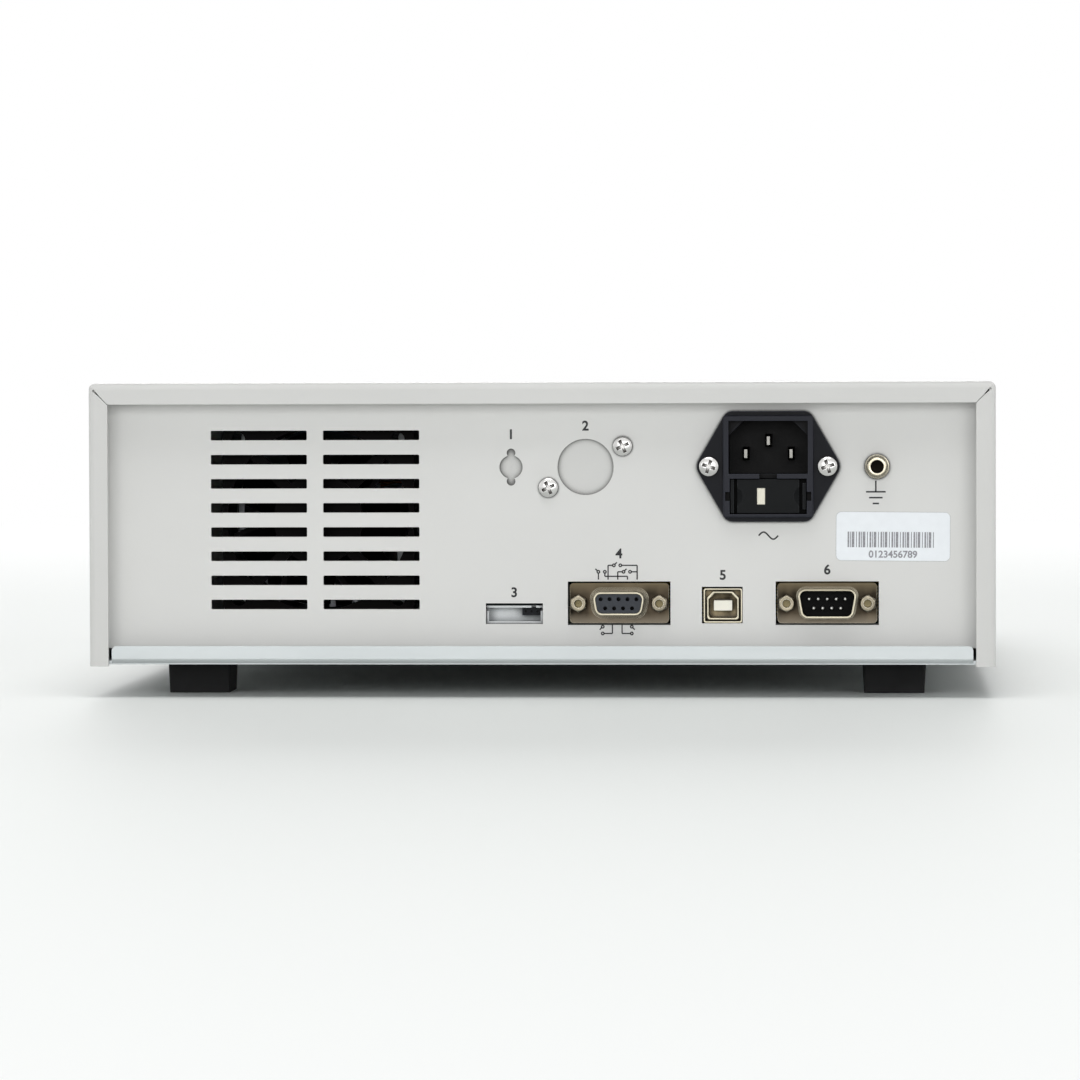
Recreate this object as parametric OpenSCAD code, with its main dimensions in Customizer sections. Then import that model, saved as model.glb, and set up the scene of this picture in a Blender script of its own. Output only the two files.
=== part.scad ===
// Bench hipot tester: sheet-steel case, moulded front, rear connector panel and the works inside.
// Frame: +Z up, front towards -Y, rear towards +Y, origin on the table under the middle of the footprint.
// Places on the rear are (u, v): u to the right as seen from behind, v above the underside of the floor.
// Places on the front are (u, v) too: u to the right as seen from the front.

/* [Case] */
// Width over the cover
case_w = 280; // [276:1:320]
// Height of the cover
case_h = 87.6; // [86:0.1:110]
// Depth from the bezel's front face to the cover's rear face
case_d = 356; // [345:0.1:420]
// Thickness of the steel sheet
sheet_t = 1.2; // [0.8:0.1:1.6]
// Outside radius of the cover's bends
bend_r = 2.2; // [1.8:0.1:4]
// Width of the return flange round the cover's rear opening
return_w = 6; // [5:0.5:8]
// Width of the slit along the mitred corners of the return flange
mitre_gap = 0.7; // [0.2:0.1:0.8]
// Clearance between sheet parts that slip together
fit_gap = 0.3; // [0.2:0.05:0.5]
// How far the cover's sides reach below the chassis floor
cover_drop = 0.6; // [0:0.1:1]
// Height of the chassis side walls that the cover is screwed to
wall_h = 15; // [13:0.5:25]
// Height of the chassis lip below the rear panel
lip_h = 5.7; // [4:0.1:8]
// Radius of the lip's top corners
lip_r = 1.5; // [0.5:0.1:3]
// How far the lip sits in from the cover's rear face
lip_inset = 0.8; // [0.2:0.1:1.5]
// Gap at each end of the lip
lip_gap = 0.9; // [0.4:0.1:2]

/* [Side vents] */
// Number of slots in each side
side_slots = 14; // [6:1:16]
// Length of a side slot
side_slot_h = 40; // [20:1:50]
// Width of a side slot
side_slot_w = 3; // [2:0.1:4]
// Distance between side slots
side_slot_pitch = 8; // [6:0.5:10]
// Depth of the first side slot behind the bezel's front face
side_slot_y = 62; // [40:1:90]
// Height of the middle of the side slots
side_slot_v = 50; // [44:1:56]

/* [Feet] */
// Width of a foot where it meets the case
foot_w = 20; // [16:0.5:30]
// Height of a foot
foot_h = 10.2; // [7:0.1:16]
// How much narrower a foot is at the table
foot_draft = 0.6; // [0:0.1:3]
// Distance of the feet from the sides
foot_inset_x = 31; // [20:1:45]
// Distance of the feet from the front and rear faces
foot_inset_y = 36; // [30:1:60]

/* [Rear panel] */
// Thickness of the rear panel
panel_t = 1.5; // [1:0.1:2.5]
// How far the panel sits in from the cover's rear face
panel_recess = 8.5; // [3:0.1:10]
// Depth of the panel's side flanges
panel_flange = 12; // [6:0.5:20]

/* [Rear vents] */
// Length of a vent slot
vent_w = 30; // [20:0.5:36]
// Height of a vent slot
vent_h = 3; // [2:0.1:4]
// Distance between vent rows
vent_pitch = 7.5; // [5:0.1:9]
// Gap between the two columns of slots
vent_gap = 5; // [3:0.1:8]
// Number of vent rows
vent_rows = 8; // [4:1:8]
// Place of the middle of the vents, to the right
vent_u = -70.4; // [-80:0.1:-66]
// Place of the middle of the vents, upwards
vent_v = 44.5; // [42:0.1:46]

/* [Blanked outputs] */
// Height of the two output holes
output_v = 60.8; // [58:0.1:64]
// Place of the round output hole
hv_hole_u = 13.7; // [10:0.1:18]
// Radius of the round output hole
hv_hole_r = 8.7; // [7:0.1:10]
// Place of the keyed return hole
rtn_hole_u = -9.4; // [-12:0.1:-8]
// Radius of the keyed return hole
rtn_hole_r = 3.6; // [3:0.1:4.5]
// Radius of the return hole's two keyways
rtn_notch_r = 1.35; // [1:0.05:1.8]
// Distance of the keyways from the middle
rtn_notch_d = 4.4; // [3.5:0.05:5]
// Sideways distance of the blanking screws from the round hole
blank_screw_u = 11.5; // [11:0.1:13]
// Upward distance of the blanking screws from the round hole
blank_screw_v = 6.4; // [5:0.1:8]
// Thickness of the blanking plate
blank_t = 1.5; // [1:0.1:2.5]
// Rim of the blanking plate beyond the holes and screws
blank_rim = 4.5; // [4:0.1:7]

/* [Mains inlet] */
// Place of the inlet, to the right
inlet_u = 70.2; // [64:0.1:76]
// Place of the inlet, upwards
inlet_v = 60.9; // [56:0.1:63]
// Width of the inlet's flange
inlet_w = 44; // [42:0.1:48]
// Height of the inlet's flange
inlet_h = 34; // [33:0.1:38]
// Distance between the inlet's screws
inlet_pitch = 36.6; // [36:0.1:40]
// Thickness of the flange
inlet_flange_t = 2.4; // [2:0.1:4]
// Width of the raised rim
inlet_rim_w = 28.1; // [27.6:0.1:29]
// Height of the raised rim
inlet_rim_h = 31.6; // [31:0.1:33]
// How far the rim stands above the flange
inlet_rim_t = 1; // [0.5:0.1:2]
// Length of the body behind the panel
inlet_depth = 28; // [27.5:0.5:34]
// Width of the plug socket
socket_w = 24.5; // [24:0.1:25]
// Height of the plug socket
socket_h = 16.4; // [16:0.1:17]
// Depth of the plug socket
socket_depth = 16; // [15:0.5:18]
// Height of the socket's middle above the inlet's middle
socket_dv = 5.9; // [5.7:0.1:6.3]
// Distance between the two outer contact blades
blade_pitch = 14; // [13:0.1:14.5]
// Height of the earth blade above the outer two
blade_step = 4; // [3.5:0.1:4.5]
// How far the blades stop short of the rim
blade_short = 4.5; // [4.2:0.1:7]
// Width of the fuse drawer's chamber
drawer_w = 23.8; // [23:0.1:24.4]
// Height of the fuse drawer's chamber
drawer_h = 11; // [10.4:0.1:11.4]
// Depth of the fuse drawer's chamber
drawer_depth = 27; // [26.5:0.5:30]
// Height of the chamber's middle below the inlet's middle
drawer_dv = 9.2; // [9:0.1:9.4]
// Clearance round the fuse drawer
drawer_gap = 0.2; // [0.2:0.05:0.5]
// Radius of a fuse
fuse_r = 2.6; // [2.3:0.05:2.8]
// Length of a fuse
fuse_len = 20; // [18:0.5:20.5]

/* [Ports] */
// Height of the interface board's top face
board_v = 12.2; // [8:0.1:14]
// Place of the socket port
handler_u = 24; // [22:0.1:28]
// Place of the pin port
serial_u = 88.3; // [84:0.1:92]
// Width of a port flange
dsub_w = 30.8; // [30:0.1:32]
// Height of a port flange
dsub_h = 12.5; // [12:0.1:13]
// Distance between a port's jackscrews
dsub_pitch = 25; // [24.8:0.05:25.2]
// Thickness of a port flange
dsub_flange_t = 0.9; // [0.6:0.1:1.2]
// How far a port shell stands off its flange
dsub_proud = 5.8; // [5:0.1:6.5]
// Gap between the port flanges and the cut-out edge
cutout_gap = 0.5; // [0.3:0.1:0.8]
// Bore radius of a jackscrew
jack_bore_r = 1.25; // [1:0.05:1.5]
// Place of the square port, to the right
usb_u = 56.1; // [52:0.1:60]
// Width of the square port
usb_w = 12; // [11.5:0.1:12.5]
// Height of the square port
usb_h = 10.7; // [10:0.1:11]
// Place of the signal slot, to the right
signal_u = -8.5; // [-10:0.1:-6]
// Width of the signal slot
signal_w = 17.7; // [16:0.1:20]
// Height of the signal slot
signal_h = 6.4; // [6:0.1:8]

/* [Ground socket] */
// Place of the ground socket, to the right
ground_u = 103.7; // [100:0.1:108]
// Place of the ground socket, upwards
ground_v = 60.8; // [56:0.1:64]
// Bore radius of the ground socket
ground_bore_r = 2; // [1.5:0.05:2.2]
// Depth of the ground socket's bore
ground_bore_d = 13; // [10:0.5:16]
// Outside radius of the ground socket's thread
ground_r = 2.95; // [2.8:0.05:3.2]
// How far the ground socket stands off the panel
ground_proud = 4.4; // [3.5:0.1:6]

/* [Fan] */
// Width of the fan frame
fan_w = 60; // [58:0.5:62]
// Thickness of the fan frame
fan_t = 25; // [20:0.5:30]
// Radius of the fan's air way
fan_r = 28.5; // [26:0.1:28.6]
// Radius of the fan hub
hub_r = 14; // [12:0.1:16]
// Number of fan blades
fan_blades = 7; // [5:1:9]
// Gap between the fan frame and the rear panel
fan_gap = 8; // [2:0.5:9]
// Radius of the fan's shaft
shaft_r = 1.5; // [1.2:0.05:2]

/* [Bezel and front plate] */
// Length of the bezel's outer wall
bezel_len = 20; // [16:0.5:30]
// Thickness of the bezel's wall
bezel_wall = 3; // [2.6:0.1:4]
// Width of the rim round the front plate
rim_w = 6; // [5:0.1:7]
// Rounding of the bezel's front edge
rim_r = 2; // [1:0.1:2.4]
// Length of the spigot inside the cover
spigot_len = 8; // [4:0.5:12]
// Thickness of the front plate
plate_t = 2; // [1.5:0.1:3]
// How far the front plate sits behind the bezel's face
plate_recess = 2.5; // [2.4:0.1:4]
// Gap between the bezel and the cover's front edge
seam_gap = 0.4; // [0.2:0.1:1]

/* [Display] */
// Height of the display window
display_h = 62; // [50:1:64]
// Room between the push buttons' switches and the display module
display_gap = 2.9; // [1:0.1:4]
// Place of the display, upwards
display_v = 45.6; // [44:0.1:47]
// Thickness of the display window
window_t = 1.5; // [1:0.1:1.9]
// Thickness of the display module
lcd_t = 5; // [3:0.1:8]
// Rim of the display module beyond the window
lcd_rim = 2; // [1:0.1:2.2]

/* [Keys] */
// Width of a key
key_w = 12; // [10:0.1:13]
// Height of a key
key_h = 8; // [6:0.1:9]
// How far a key stands above the front plate
key_proud = 2.4; // [1.5:0.1:4]
// Travel of a key
key_travel = 1.2; // [0.5:0.1:2]
// Clearance round a key
key_gap = 0.3; // [0.2:0.05:0.5]
// Room between the display module and the soft keys
soft_gap = 3; // [1:0.5:6]
// Height of the lowest soft key
soft_v = 23.1; // [22:0.1:25]
// Distance between soft keys
soft_pitch = 15; // [13:0.1:16]
// Room between the soft keys and the arrow keys
arrow_gap = 9; // [7:0.5:12]
// Place of the middle of the arrow keys, upwards
arrow_v = 34; // [32:0.1:36]
// Sideways distance of the arrow keys from the middle
arrow_du = 17; // [14:0.5:18]
// Upward distance of the arrow keys from the middle
arrow_dv = 13; // [10:0.5:14]
// Height of the two menu keys
menu_v = 66.5; // [62:0.1:70]
// Sideways distance of the menu keys from the middle of the arrow keys
menu_du = 12; // [9:0.5:16]

/* [Push buttons] */
// Distance of the push buttons from the front plate's left edge
button_inset = 15.7; // [13:0.1:18]
// Height of the power button
power_v = 16.6; // [16:0.1:20]
// Height of the start button
start_v = 42; // [38:0.1:46]
// Height of the stop button
stop_v = 67; // [64:0.1:70]
// Radius of the start and stop buttons
button_r = 7.2; // [6:0.1:8]
// Width of the power button
power_w = 11; // [9:0.1:13]
// How far a push button stands above the front plate
button_proud = 4.5; // [3:0.1:8]
// Travel of a push button
button_travel = 2.5; // [1.5:0.1:3]

/* [Output terminals] */
// Height of the two terminals
terminal_v = 27; // [24:0.5:36]
// Distance of the high voltage terminal from the front plate's right edge
terminal_inset = 17.7; // [15:0.1:19]
// Distance between the two terminals
terminal_pitch = 26; // [25.5:0.1:28]
// Room between the keys' board and the terminals
terminal_room = 3.5; // [1:0.1:5]
// How far a terminal stands above the front plate
terminal_proud = 16.5; // [14:0.5:24]
// Radius of a terminal's flange
terminal_flange_r = 11.5; // [10:0.1:12.5]
// Radius of a terminal's barrel
terminal_r = 8.5; // [7.5:0.1:9.5]
// Radius of a terminal's threaded neck
neck_r = 6.8; // [6:0.1:7.4]
// Outside radius of a contact sleeve
contact_r = 2.9; // [2.7:0.05:3.2]
// Bore radius of a contact sleeve
contact_bore_r = 2; // [1.5:0.05:2.2]
// Depth of a contact sleeve's bore
contact_bore_d = 12; // [8:0.5:13]
// Place of the lamp, upwards
lamp_v = 62; // [58:0.5:68]
// Radius of the lamp's lens
lamp_r = 4; // [3:0.1:6]

/* [Inside] */
// Height of the high voltage transformer's core
core_h = 66; // [56:1:70]
// Width of the high voltage transformer's core
core_w = 84; // [76:1:90]
// Stack of the high voltage transformer's core
core_stack = 44; // [36:1:50]
// Width of a leg of the core
core_leg = 14; // [12:0.5:15]
// Outside radius of the mains transformer
toroid_r = 48; // [40:1:50]
// Radius of the mains transformer's hole
toroid_hole_r = 18; // [14:0.5:22]
// Height of the mains transformer
toroid_h = 42; // [34:1:50]
// Width of the heat sink
sink_w = 60; // [50:1:66]
// Length of the heat sink
sink_len = 80; // [60:1:84]
// Height of the heat sink
sink_h = 52; // [40:1:60]
// Number of heat sink fins
sink_fins = 9; // [5:1:12]
// Thickness of a circuit board
pcb_t = 1.6; // [1:0.1:2]
// Width of the main board
main_board_w = 120; // [100:1:124]
// Room between the mains transformer and the board behind the rear panel
toroid_room = 17; // [4:0.5:30]
// Room between the main board and the mains transformer
board_room = 17.6; // [4:0.1:30]
// Room between the high voltage transformer and the heat sink
core_room = 51; // [10:0.5:60]
// Depth behind the bezel's face that the front works take
front_room = 41; // [36:0.5:60]

/* [Hidden] */
$fn = 64;
eps = 0.01;

// Machine screws
screw_head_r = 2.95;
screw_head_h = 2;
cross_w = 1;
cross_span = 4.2;
cross_deep = 1.4;
screw_r = 1.45;
screw_hole_r = 1.6;
screw_hold = 2.5;

// Planes of the case. The terminals are foremost, and the inlet's screws or the ground socket rearmost.
front_out = terminal_proud - plate_recess;
rear_out = max(0, max(ground_proud, inlet_flange_t + screw_head_h) - panel_recess);
y_rear = (case_d + front_out - rear_out) / 2;
y_front = y_rear - case_d;
floor_z = foot_h;
floor_top = floor_z + sheet_t;
cover_z = floor_z - cover_drop;
top_z = cover_z + case_h;
panel_y = y_rear - panel_recess;
plate_y = y_front + plate_recess;
cover_front = y_front + bezel_len + seam_gap;
cover_in = case_w / 2 - sheet_t;
wall_out = cover_in - fit_gap;
wall_in = wall_out - sheet_t;
panel_half = wall_in - fit_gap;
panel_top = top_z - sheet_t - fit_gap;
lip_half = case_w / 2 - return_w - lip_gap;
lip_y = y_rear - lip_inset;
lip_bend_r = 1.8;
return_drop = 0.5;
mitre_inset = 1.5;
panel_notch_h = 3.5;
cover_in_r = max(bend_r - sheet_t, 0.3);
floor_rear = y_rear - sheet_t - fit_gap;
return_top = return_w + return_drop;

// Screws that hold the cover and the feet
side_screw_head_r = 2.9;
side_screw_play = 0.05;
side_screw_len = 5;
side_screw_v = 9;
side_cross_span = 3.2;
side_cross_deep = 0.9;
side_screw_ys = [cover_front + 32, (cover_front + floor_rear) / 2, floor_rear - 34];
foot_recess_r = 4;
foot_recess_h = foot_h - 3.5;
foot_r = 2.5;
feet_at = [for (sx = [-1, 1], y = [y_front + foot_inset_y, y_rear - foot_inset_y])
    [sx * (case_w / 2 - foot_inset_x), y]];

// Rear panel
vent_corner_r = 0.4;
blank_left = rtn_hole_u - rtn_hole_r - blank_rim;
blank_right = hv_hole_u + blank_screw_u + blank_rim;
blank_half_h = hv_hole_r + blank_rim;

// Mains inlet, in a frame at its middle on the panel's outer face
inlet_face = inlet_flange_t + inlet_rim_t;
inlet_corner_r = 3;
inlet_step = 0.3;
inlet_body_w = inlet_rim_w - 2 * inlet_step;
inlet_body_h = inlet_rim_h - 2 * inlet_step;
inlet_hole_gap = 0.2;
inlet_edge_r = 0.7;
mouth_t = 3.2;
socket_chamfer = 4.6;
socket_back = inlet_face - socket_depth;
blade_w = 2;
blade_h = 4;
blade_bevel_w = 0.55;
blade_bevel_h = 0.7;
blade_play = 0.05;
blade_tail = 9;
blade_low_v = socket_dv - blade_step / 2;
blade_tip = inlet_face - blade_short;
blades_at = [[-blade_pitch / 2, blade_low_v], [blade_pitch / 2, blade_low_v], [0, blade_low_v + blade_step]];
pry_w = 5.5;
pry_d = 5;
latch_w = 1.4;
latch_h = 2.8;
latch_d = 3;
drawer_sink = 0.5;
drawer_corner_r = 0.6;
drawer_edge_r = 0.25;
drawer_end = 1;
drawer_face = inlet_face - drawer_sink;
drawer_front_t = 3.6;
drawer_front_w = drawer_w - 2 * drawer_gap;
drawer_front_h = drawer_h - 2 * drawer_gap;
drawer_back = inlet_face - drawer_depth + drawer_end;
tray_step = 0.4;
tray_w = drawer_front_w - 5 * tray_step;
tray_h = drawer_front_h - 2 * tray_step;
finger_w = 1.1;
groove_w = 1.1;
groove_d = 2.8;
finger_h = 8;
scoop_r = 5.1;
scoop_lift = 3.9;
scoop_out = 1.6;
face_half = drawer_front_w / 2 - finger_w - groove_w;
fuse_du = tray_w / 4;
fuse_play = 0.2;
tab_u = -2.2;
tab_w = 2.6;
tab_h = 5.2;
tab_t = 0.8;
tab_pocket = 1;
tab_play = 0.05;

// Ports, in a frame at the port's middle. Each stands on the interface board.
port_lift = 0.15;
usb_lift = 0.3;
port_v = board_v + port_lift + dsub_h / 2;
usb_v = board_v + usb_lift + usb_h / 2;
flange_gap = 0.2;
dsub_front = -panel_t - flange_gap;
dsub_shell_t = 0.5;
pin_root = 0.6;
socket_root = 1.2;
root_steps = 3;
dsub_slope = 10;
dsub_corner_r = 2.3;
dsub_can_w = 19;
dsub_can_h = 10.8;
dsub_can_d = 6;
dsub_block_w = 29;
dsub_block_d = 9;
dsub_pin_pitch = 2.77;
dsub_row = 2.84;
dsub_hole_r = 0.62;
dsub_pin_r = 0.5;
pin_floor = 0.4;
pin_tail = 4;
pin_short = 0.4;
socket_d_w = 15.5;
socket_d_h = 7.1;
socket_lip = 0.35;
pin_d_w = 17.8;
pin_d_h = 8.9;
insert_play = 0.05;
jack_flats = 4.76;
jack_len = 5;
jack_top_r = 2.15;
jack_bore_d = 4.4;
jack_shank = 4;
jack_shank_r = 1.4;
jack_hole_r = 1.6;
dsub_pins = [for (i = [-2:2]) [i * dsub_pin_pitch, dsub_row / 2],
    for (i = [-1.5:1.5]) [i * dsub_pin_pitch, -dsub_row / 2]];
usb_front = -0.4;
usb_len = 16;
usb_wall = 0.5;
usb_play = 0.1;
usb_groove = 3.2;
usb_mouth_w = 9.8;
usb_mouth_h = 8.7;
usb_chamfer = 1.9;
usb_corner = 0.9;
usb_depth = 9.5;
tongue_w = 5.7;
tongue_h = 3.2;
tongue_short = 1.2;
signal_v = board_v + signal_h / 2;
signal_play = 0.1;
signal_front = -panel_t - 5 * signal_play;
signal_wall = 0.7;
signal_top_gap = 0.7;
shroud_w = signal_w - 2 * signal_play;
shroud_h = signal_h - signal_top_gap - signal_play;
shroud_v = signal_v - signal_top_gap / 2;
shroud_ear_h = 0.9;
signal_d = 5.4;
signal_block_w = 5.8;
signal_block_h = 2.4;
signal_block_d = 3.4;
port_hole_pitch = 1.8;
port_hole_d = 1;
port_hole_r = 0.45;
signal_notch_u = 5.9;
signal_notch_w = 1.4;
signal_notch_d = 3;
pcb_gap = 1;
pcb_rim = 4;
pcb_back = panel_y - panel_t - pcb_gap;
pcb_left = -(serial_u + dsub_w / 2 + pcb_rim);
pcb_right = -(signal_u - signal_w / 2 - pcb_rim);
pcb_len = 48;
driver_w = 16;
driver_d = 8;
driver_inset = 18;
driver_pitch = 28;
board_z = floor_z + board_v;

// Ground socket
ground_flange_r = 3.8;
ground_flange_t = 1.5;
ground_nose_r = 3.3;
ground_bevel = 0.6;
ground_tail = 11;
ground_play = 0.05;
ground_nut_flats = 9;
ground_nut_t = 3;

// Fan, in a frame at its middle on the rear panel's outer face
fan_back = -panel_t - fan_gap;
fan_corner_r = 4;
fan_screw_d = fan_w / 2 - 5;
fan_screw_r = 2.1;
motor_t = 4;
strut_w = 3.5;
strut_inset = 0.5;
blade_t = 1.3;
blade_clear = 1.2;
blade_len = fan_t - motor_t - 4;
blade_rake = 38;
rotor_gap = 0.5;
shaft_play = 0.05;
bracket_foot = 12;
bracket_rim = 1.5;

// Push buttons
button_flange = 0.9;
button_flange_t = 1.5;
button_dome_r = 30;
button_stem_r = 2;
button_stem = 5;
switch_wall = 1.6;
switch_play = 0.4;
switch_room = button_flange + switch_play;
switch_floor = 3;
switch_d = key_gap + button_flange_t + button_stem + button_travel + switch_play + switch_floor;
collar_w = 1.6;
collar_t = 1.6;

// Front, in a frame on the front plate's outer face
plate_w = case_w - 2 * bezel_wall - 2 * fit_gap;
plate_h = case_h - 2 * bezel_wall - 2 * fit_gap;
plate_mid_v = case_h / 2 - cover_drop;
plate_r = 2;
spigot_in = sheet_t + fit_gap;
spigot_t = 1.2;
window_play = 0.15;
key_corner_r = 1.4;
key_edge_r = 0.8;
key_flange = 1;
key_flange_t = 1.2;
tact_w = 6;
tact_body = 3.4;
tact_stem = 1.4;
tact_stem_r = 1.7;
key_back = plate_t + key_gap + key_flange_t;
key_board_z = key_back + key_travel + key_gap + tact_body + tact_stem;
button_u = -plate_w / 2 + button_inset;
hv_u = plate_w / 2 - terminal_inset;
rtn_u = hv_u - terminal_pitch;
key_board_rim = 5;
key_board_right = rtn_u - terminal_flange_r - terminal_room;
arrow_u = key_board_right - key_board_rim - key_w / 2 - arrow_du;
soft_u = arrow_u - arrow_du - arrow_gap - key_w - 2 * key_flange;
display_left = button_u + button_r + switch_room + switch_wall + display_gap + lcd_rim;
display_right = soft_u - key_w / 2 - key_flange - soft_gap - lcd_rim;
display_w = display_right - display_left;
display_u = (display_left + display_right) / 2;
soft_at = [for (i = [3:-1:0]) [soft_u, soft_v + i * soft_pitch]];
menu_at = [[arrow_u - menu_du, menu_v], [arrow_u + menu_du, menu_v]];
arrows_at = [[arrow_u, arrow_v + arrow_dv], [arrow_u, arrow_v - arrow_dv],
    [arrow_u - arrow_du, arrow_v], [arrow_u + arrow_du, arrow_v]];
keys_at = concat(soft_at, menu_at, arrows_at, [[arrow_u, arrow_v]]);
key_board_left = soft_u - key_w / 2 - key_flange;
key_board_low = arrow_v - arrow_dv - key_h / 2 - key_board_rim;
key_board_high = soft_v + 3 * soft_pitch + key_h / 2 + key_board_rim;
stud_r = 2;
studs_at = [for (u = [soft_u + key_w / 2 + key_flange + arrow_gap / 2, key_board_right - stud_r],
    v = [key_board_low + stud_r, key_board_high - stud_r]) [u, v]];

// Terminals
terminal_flange_t = 2.5;
terminal_edge_r = 1;
contact_inset = 1.5;
contact_mouth_r = 3.4;
contact_play = 0.05;
neck_len = 12;
contact_tail = 4;
contact_tail_r = 1.5;
contact_head_r = 4.2;
contact_head_t = 2;
nut_flats = 18;
nut_t = 4;
lamp_u = (rtn_u + hv_u) / 2;
lamp_flange_r = lamp_r + 1.2;
lamp_flange_t = 1;
lamp_len = 9;
lamp_play = 0.2;

// Inside
core_x = 78;
coil_gap = 0.3;
coil_bulge = 13;
coil_corner_r = 4;
toroid_x = -72;
toroid_y = pcb_back - pcb_len - toroid_room - toroid_r;
toroid_edge_r = 8;
clamp_rim = 14;
clamp_r = toroid_hole_r + clamp_rim;
clamp_t = 2;
clamp_bolt_r = 3;
clamp_head = 4;
sink_x = -vent_u;
sink_gap = 6;
sink_y = panel_y + fan_back - fan_t - bracket_foot - sink_gap - sink_len / 2;
sink_base = 6;
fin_t = 1.8;
core_y = sink_y - sink_len / 2 - core_room - coil_bulge - core_stack / 2;
standoff_flats = 5.5;
standoff_h = board_v - pcb_t - sheet_t;
board_side_gap = 6;
main_board_x = -(wall_in - board_side_gap - main_board_w / 2);
main_board_front = y_front + front_room;
main_board_d = toroid_y - toroid_r - board_room - main_board_front;
main_board_y = main_board_front + main_board_d / 2;
chip_w = 22;
chip_t = 3;
chip_inset = 26;
chip_pitch = 32;
can_r = 8;
can_h = 24;
can_inset = 20;
can_pitch = 24;
standoff_inset = 6;
standoffs_at = concat(
    [for (sx = [-1, 1], sy = [-1, 1]) [main_board_x + sx * (main_board_w / 2 - standoff_inset),
        main_board_y + sy * (main_board_d / 2 - standoff_inset)]],
    [for (x = [pcb_left + standoff_inset, pcb_right - standoff_inset],
        y = [pcb_back - pcb_len + standoff_inset, pcb_back - pcb_len / 2 + 4]) [x, y]]);

paint = "#cfcfcc";
zinc = "#dde2e3";
black = "#1d1e20";
nickel = "#c9c4b8";
steel = "#d5d6d8";
pcb_green = "#2d6b45";

// Frames for the two faces: children stand on the face with their own +Z pointing out of the case
module at_rear(u, v) translate([-u, panel_y, floor_z + v]) rotate([90, 0, 180]) children();
module at_front(u, v) translate([u, plate_y, floor_z + v]) rotate([90, 0, 0]) children();
module at_inlet() at_rear(inlet_u, inlet_v) children();
module at_port(u) at_rear(u, port_v) translate([0, 0, dsub_front]) children();

// Outline helpers
module rounded_rect(w, h, r) {
    square([w - 2 * r, h], center = true);
    square([w, h - 2 * r], center = true);
    for (sx = [-1, 1], sy = [-1, 1])
        translate([sx * (w / 2 - r), sy * (h / 2 - r)]) circle(r);
}

module slab(w, h, z0, z1, r) translate([0, 0, z0]) linear_extrude(z1 - z0) rounded_rect(w, h, r);

// A cut through a sheet of thickness t whose outer face is at z = 0
module through(t) translate([0, 0, -t - 1]) linear_extrude(t + 2) children();

module tube(r_out, r_in, z0, z1) difference() {
    translate([0, 0, z0]) cylinder(r = r_out, h = z1 - z0);
    translate([0, 0, z0 - 1]) cylinder(r = r_in, h = z1 - z0 + 2);
}

module hex_bar(flats, z0, z1)
    translate([0, 0, z0]) rotate(30) cylinder(r = flats / 2 / cos(30), h = z1 - z0, $fn = 6);

// Outline with round top corners only, standing on y = 0
module arch_rect(w, h, r) {
    translate([-w / 2, 0]) square([w, h - r]);
    translate([-w / 2 + r, 0]) square([w - 2 * r, h]);
    for (sx = [-1, 1]) translate([sx * (w / 2 - r), h - r]) circle(r);
}

// A block on z = z0 with round upright edges (r) and a rounded top (e)
module soft_block(w, h, z0, z1, r, e) translate([0, 0, z0]) intersection() {
    linear_extrude(z1 - z0) rounded_rect(w, h, r);
    rotate([90, 0, 0]) linear_extrude(h + 2, center = true) arch_rect(w, z1 - z0, e);
    rotate([90, 0, 90]) linear_extrude(w + 2, center = true) arch_rect(h, z1 - z0, e);
}

// Pan-head screw: head above z = 0, shank below, cross recess in the head
module pan_screw(shank) difference() {
    union() {
        intersection() {
            cylinder(r = screw_head_r, h = screw_head_h);
            translate([0, 0, screw_head_h - 2 * screw_head_r]) sphere(2 * screw_head_r);
        }
        translate([0, 0, -shank]) cylinder(r = screw_r, h = shank + eps);
    }
    cross_recess(screw_head_h, cross_span, cross_deep);
}

module cross_recess(top, span, deep) for (a = [0, 90]) rotate(a)
    translate([-span / 2, -cross_w / 2, top - deep]) cube([span, cross_w, deep + 1]);

// Sheet-steel case

// Solid with round top and rear edges, open-ended towards the front and the table
module cover_solid(half_w, top, rear, front, low, r) intersection() {
    translate([0, rear + 1, low]) rotate([90, 0, 0]) linear_extrude(rear - front + 1)
        arch_rect(2 * half_w, top - low, r);
    translate([0, front, low]) rotate([90, 0, 90]) linear_extrude(2 * half_w + 2, center = true)
        difference() {
            square([rear - front, top - low]);
            translate([rear - front - r, top - low - r]) difference() {
                square(r + 1);
                circle(r);
            }
        }
    translate([0, front, low - 1]) linear_extrude(top - low + 2) arch_rect(2 * half_w, rear - front, r);
}

module mitre_slit(side) {
    inner = case_w / 2 - return_w;
    reach = sqrt(2) * (return_w - mitre_inset);
    bend = 0.55 * reach;
    fine = mitre_gap / 6;
    translate([side * inner, y_rear + 1, top_z - return_top]) rotate([90, 0, 0]) rotate(side > 0 ? 45 : 135)
        linear_extrude(sheet_t + 1 + eps)
            polygon([[-1, -fine], [bend, -fine], [reach, -mitre_gap / 2], [reach, mitre_gap / 2],
                [bend, fine], [-1, fine]]);
}

module side_screw_cone(grow) rotate([0, 90, 0])
    cylinder(r1 = screw_r + grow, r2 = side_screw_head_r + grow, h = sheet_t);

module at_side_screws() for (side = [0, 1], y = side_screw_ys)
    mirror([side, 0, 0]) translate([cover_in, y, floor_z + side_screw_v]) children();

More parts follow.
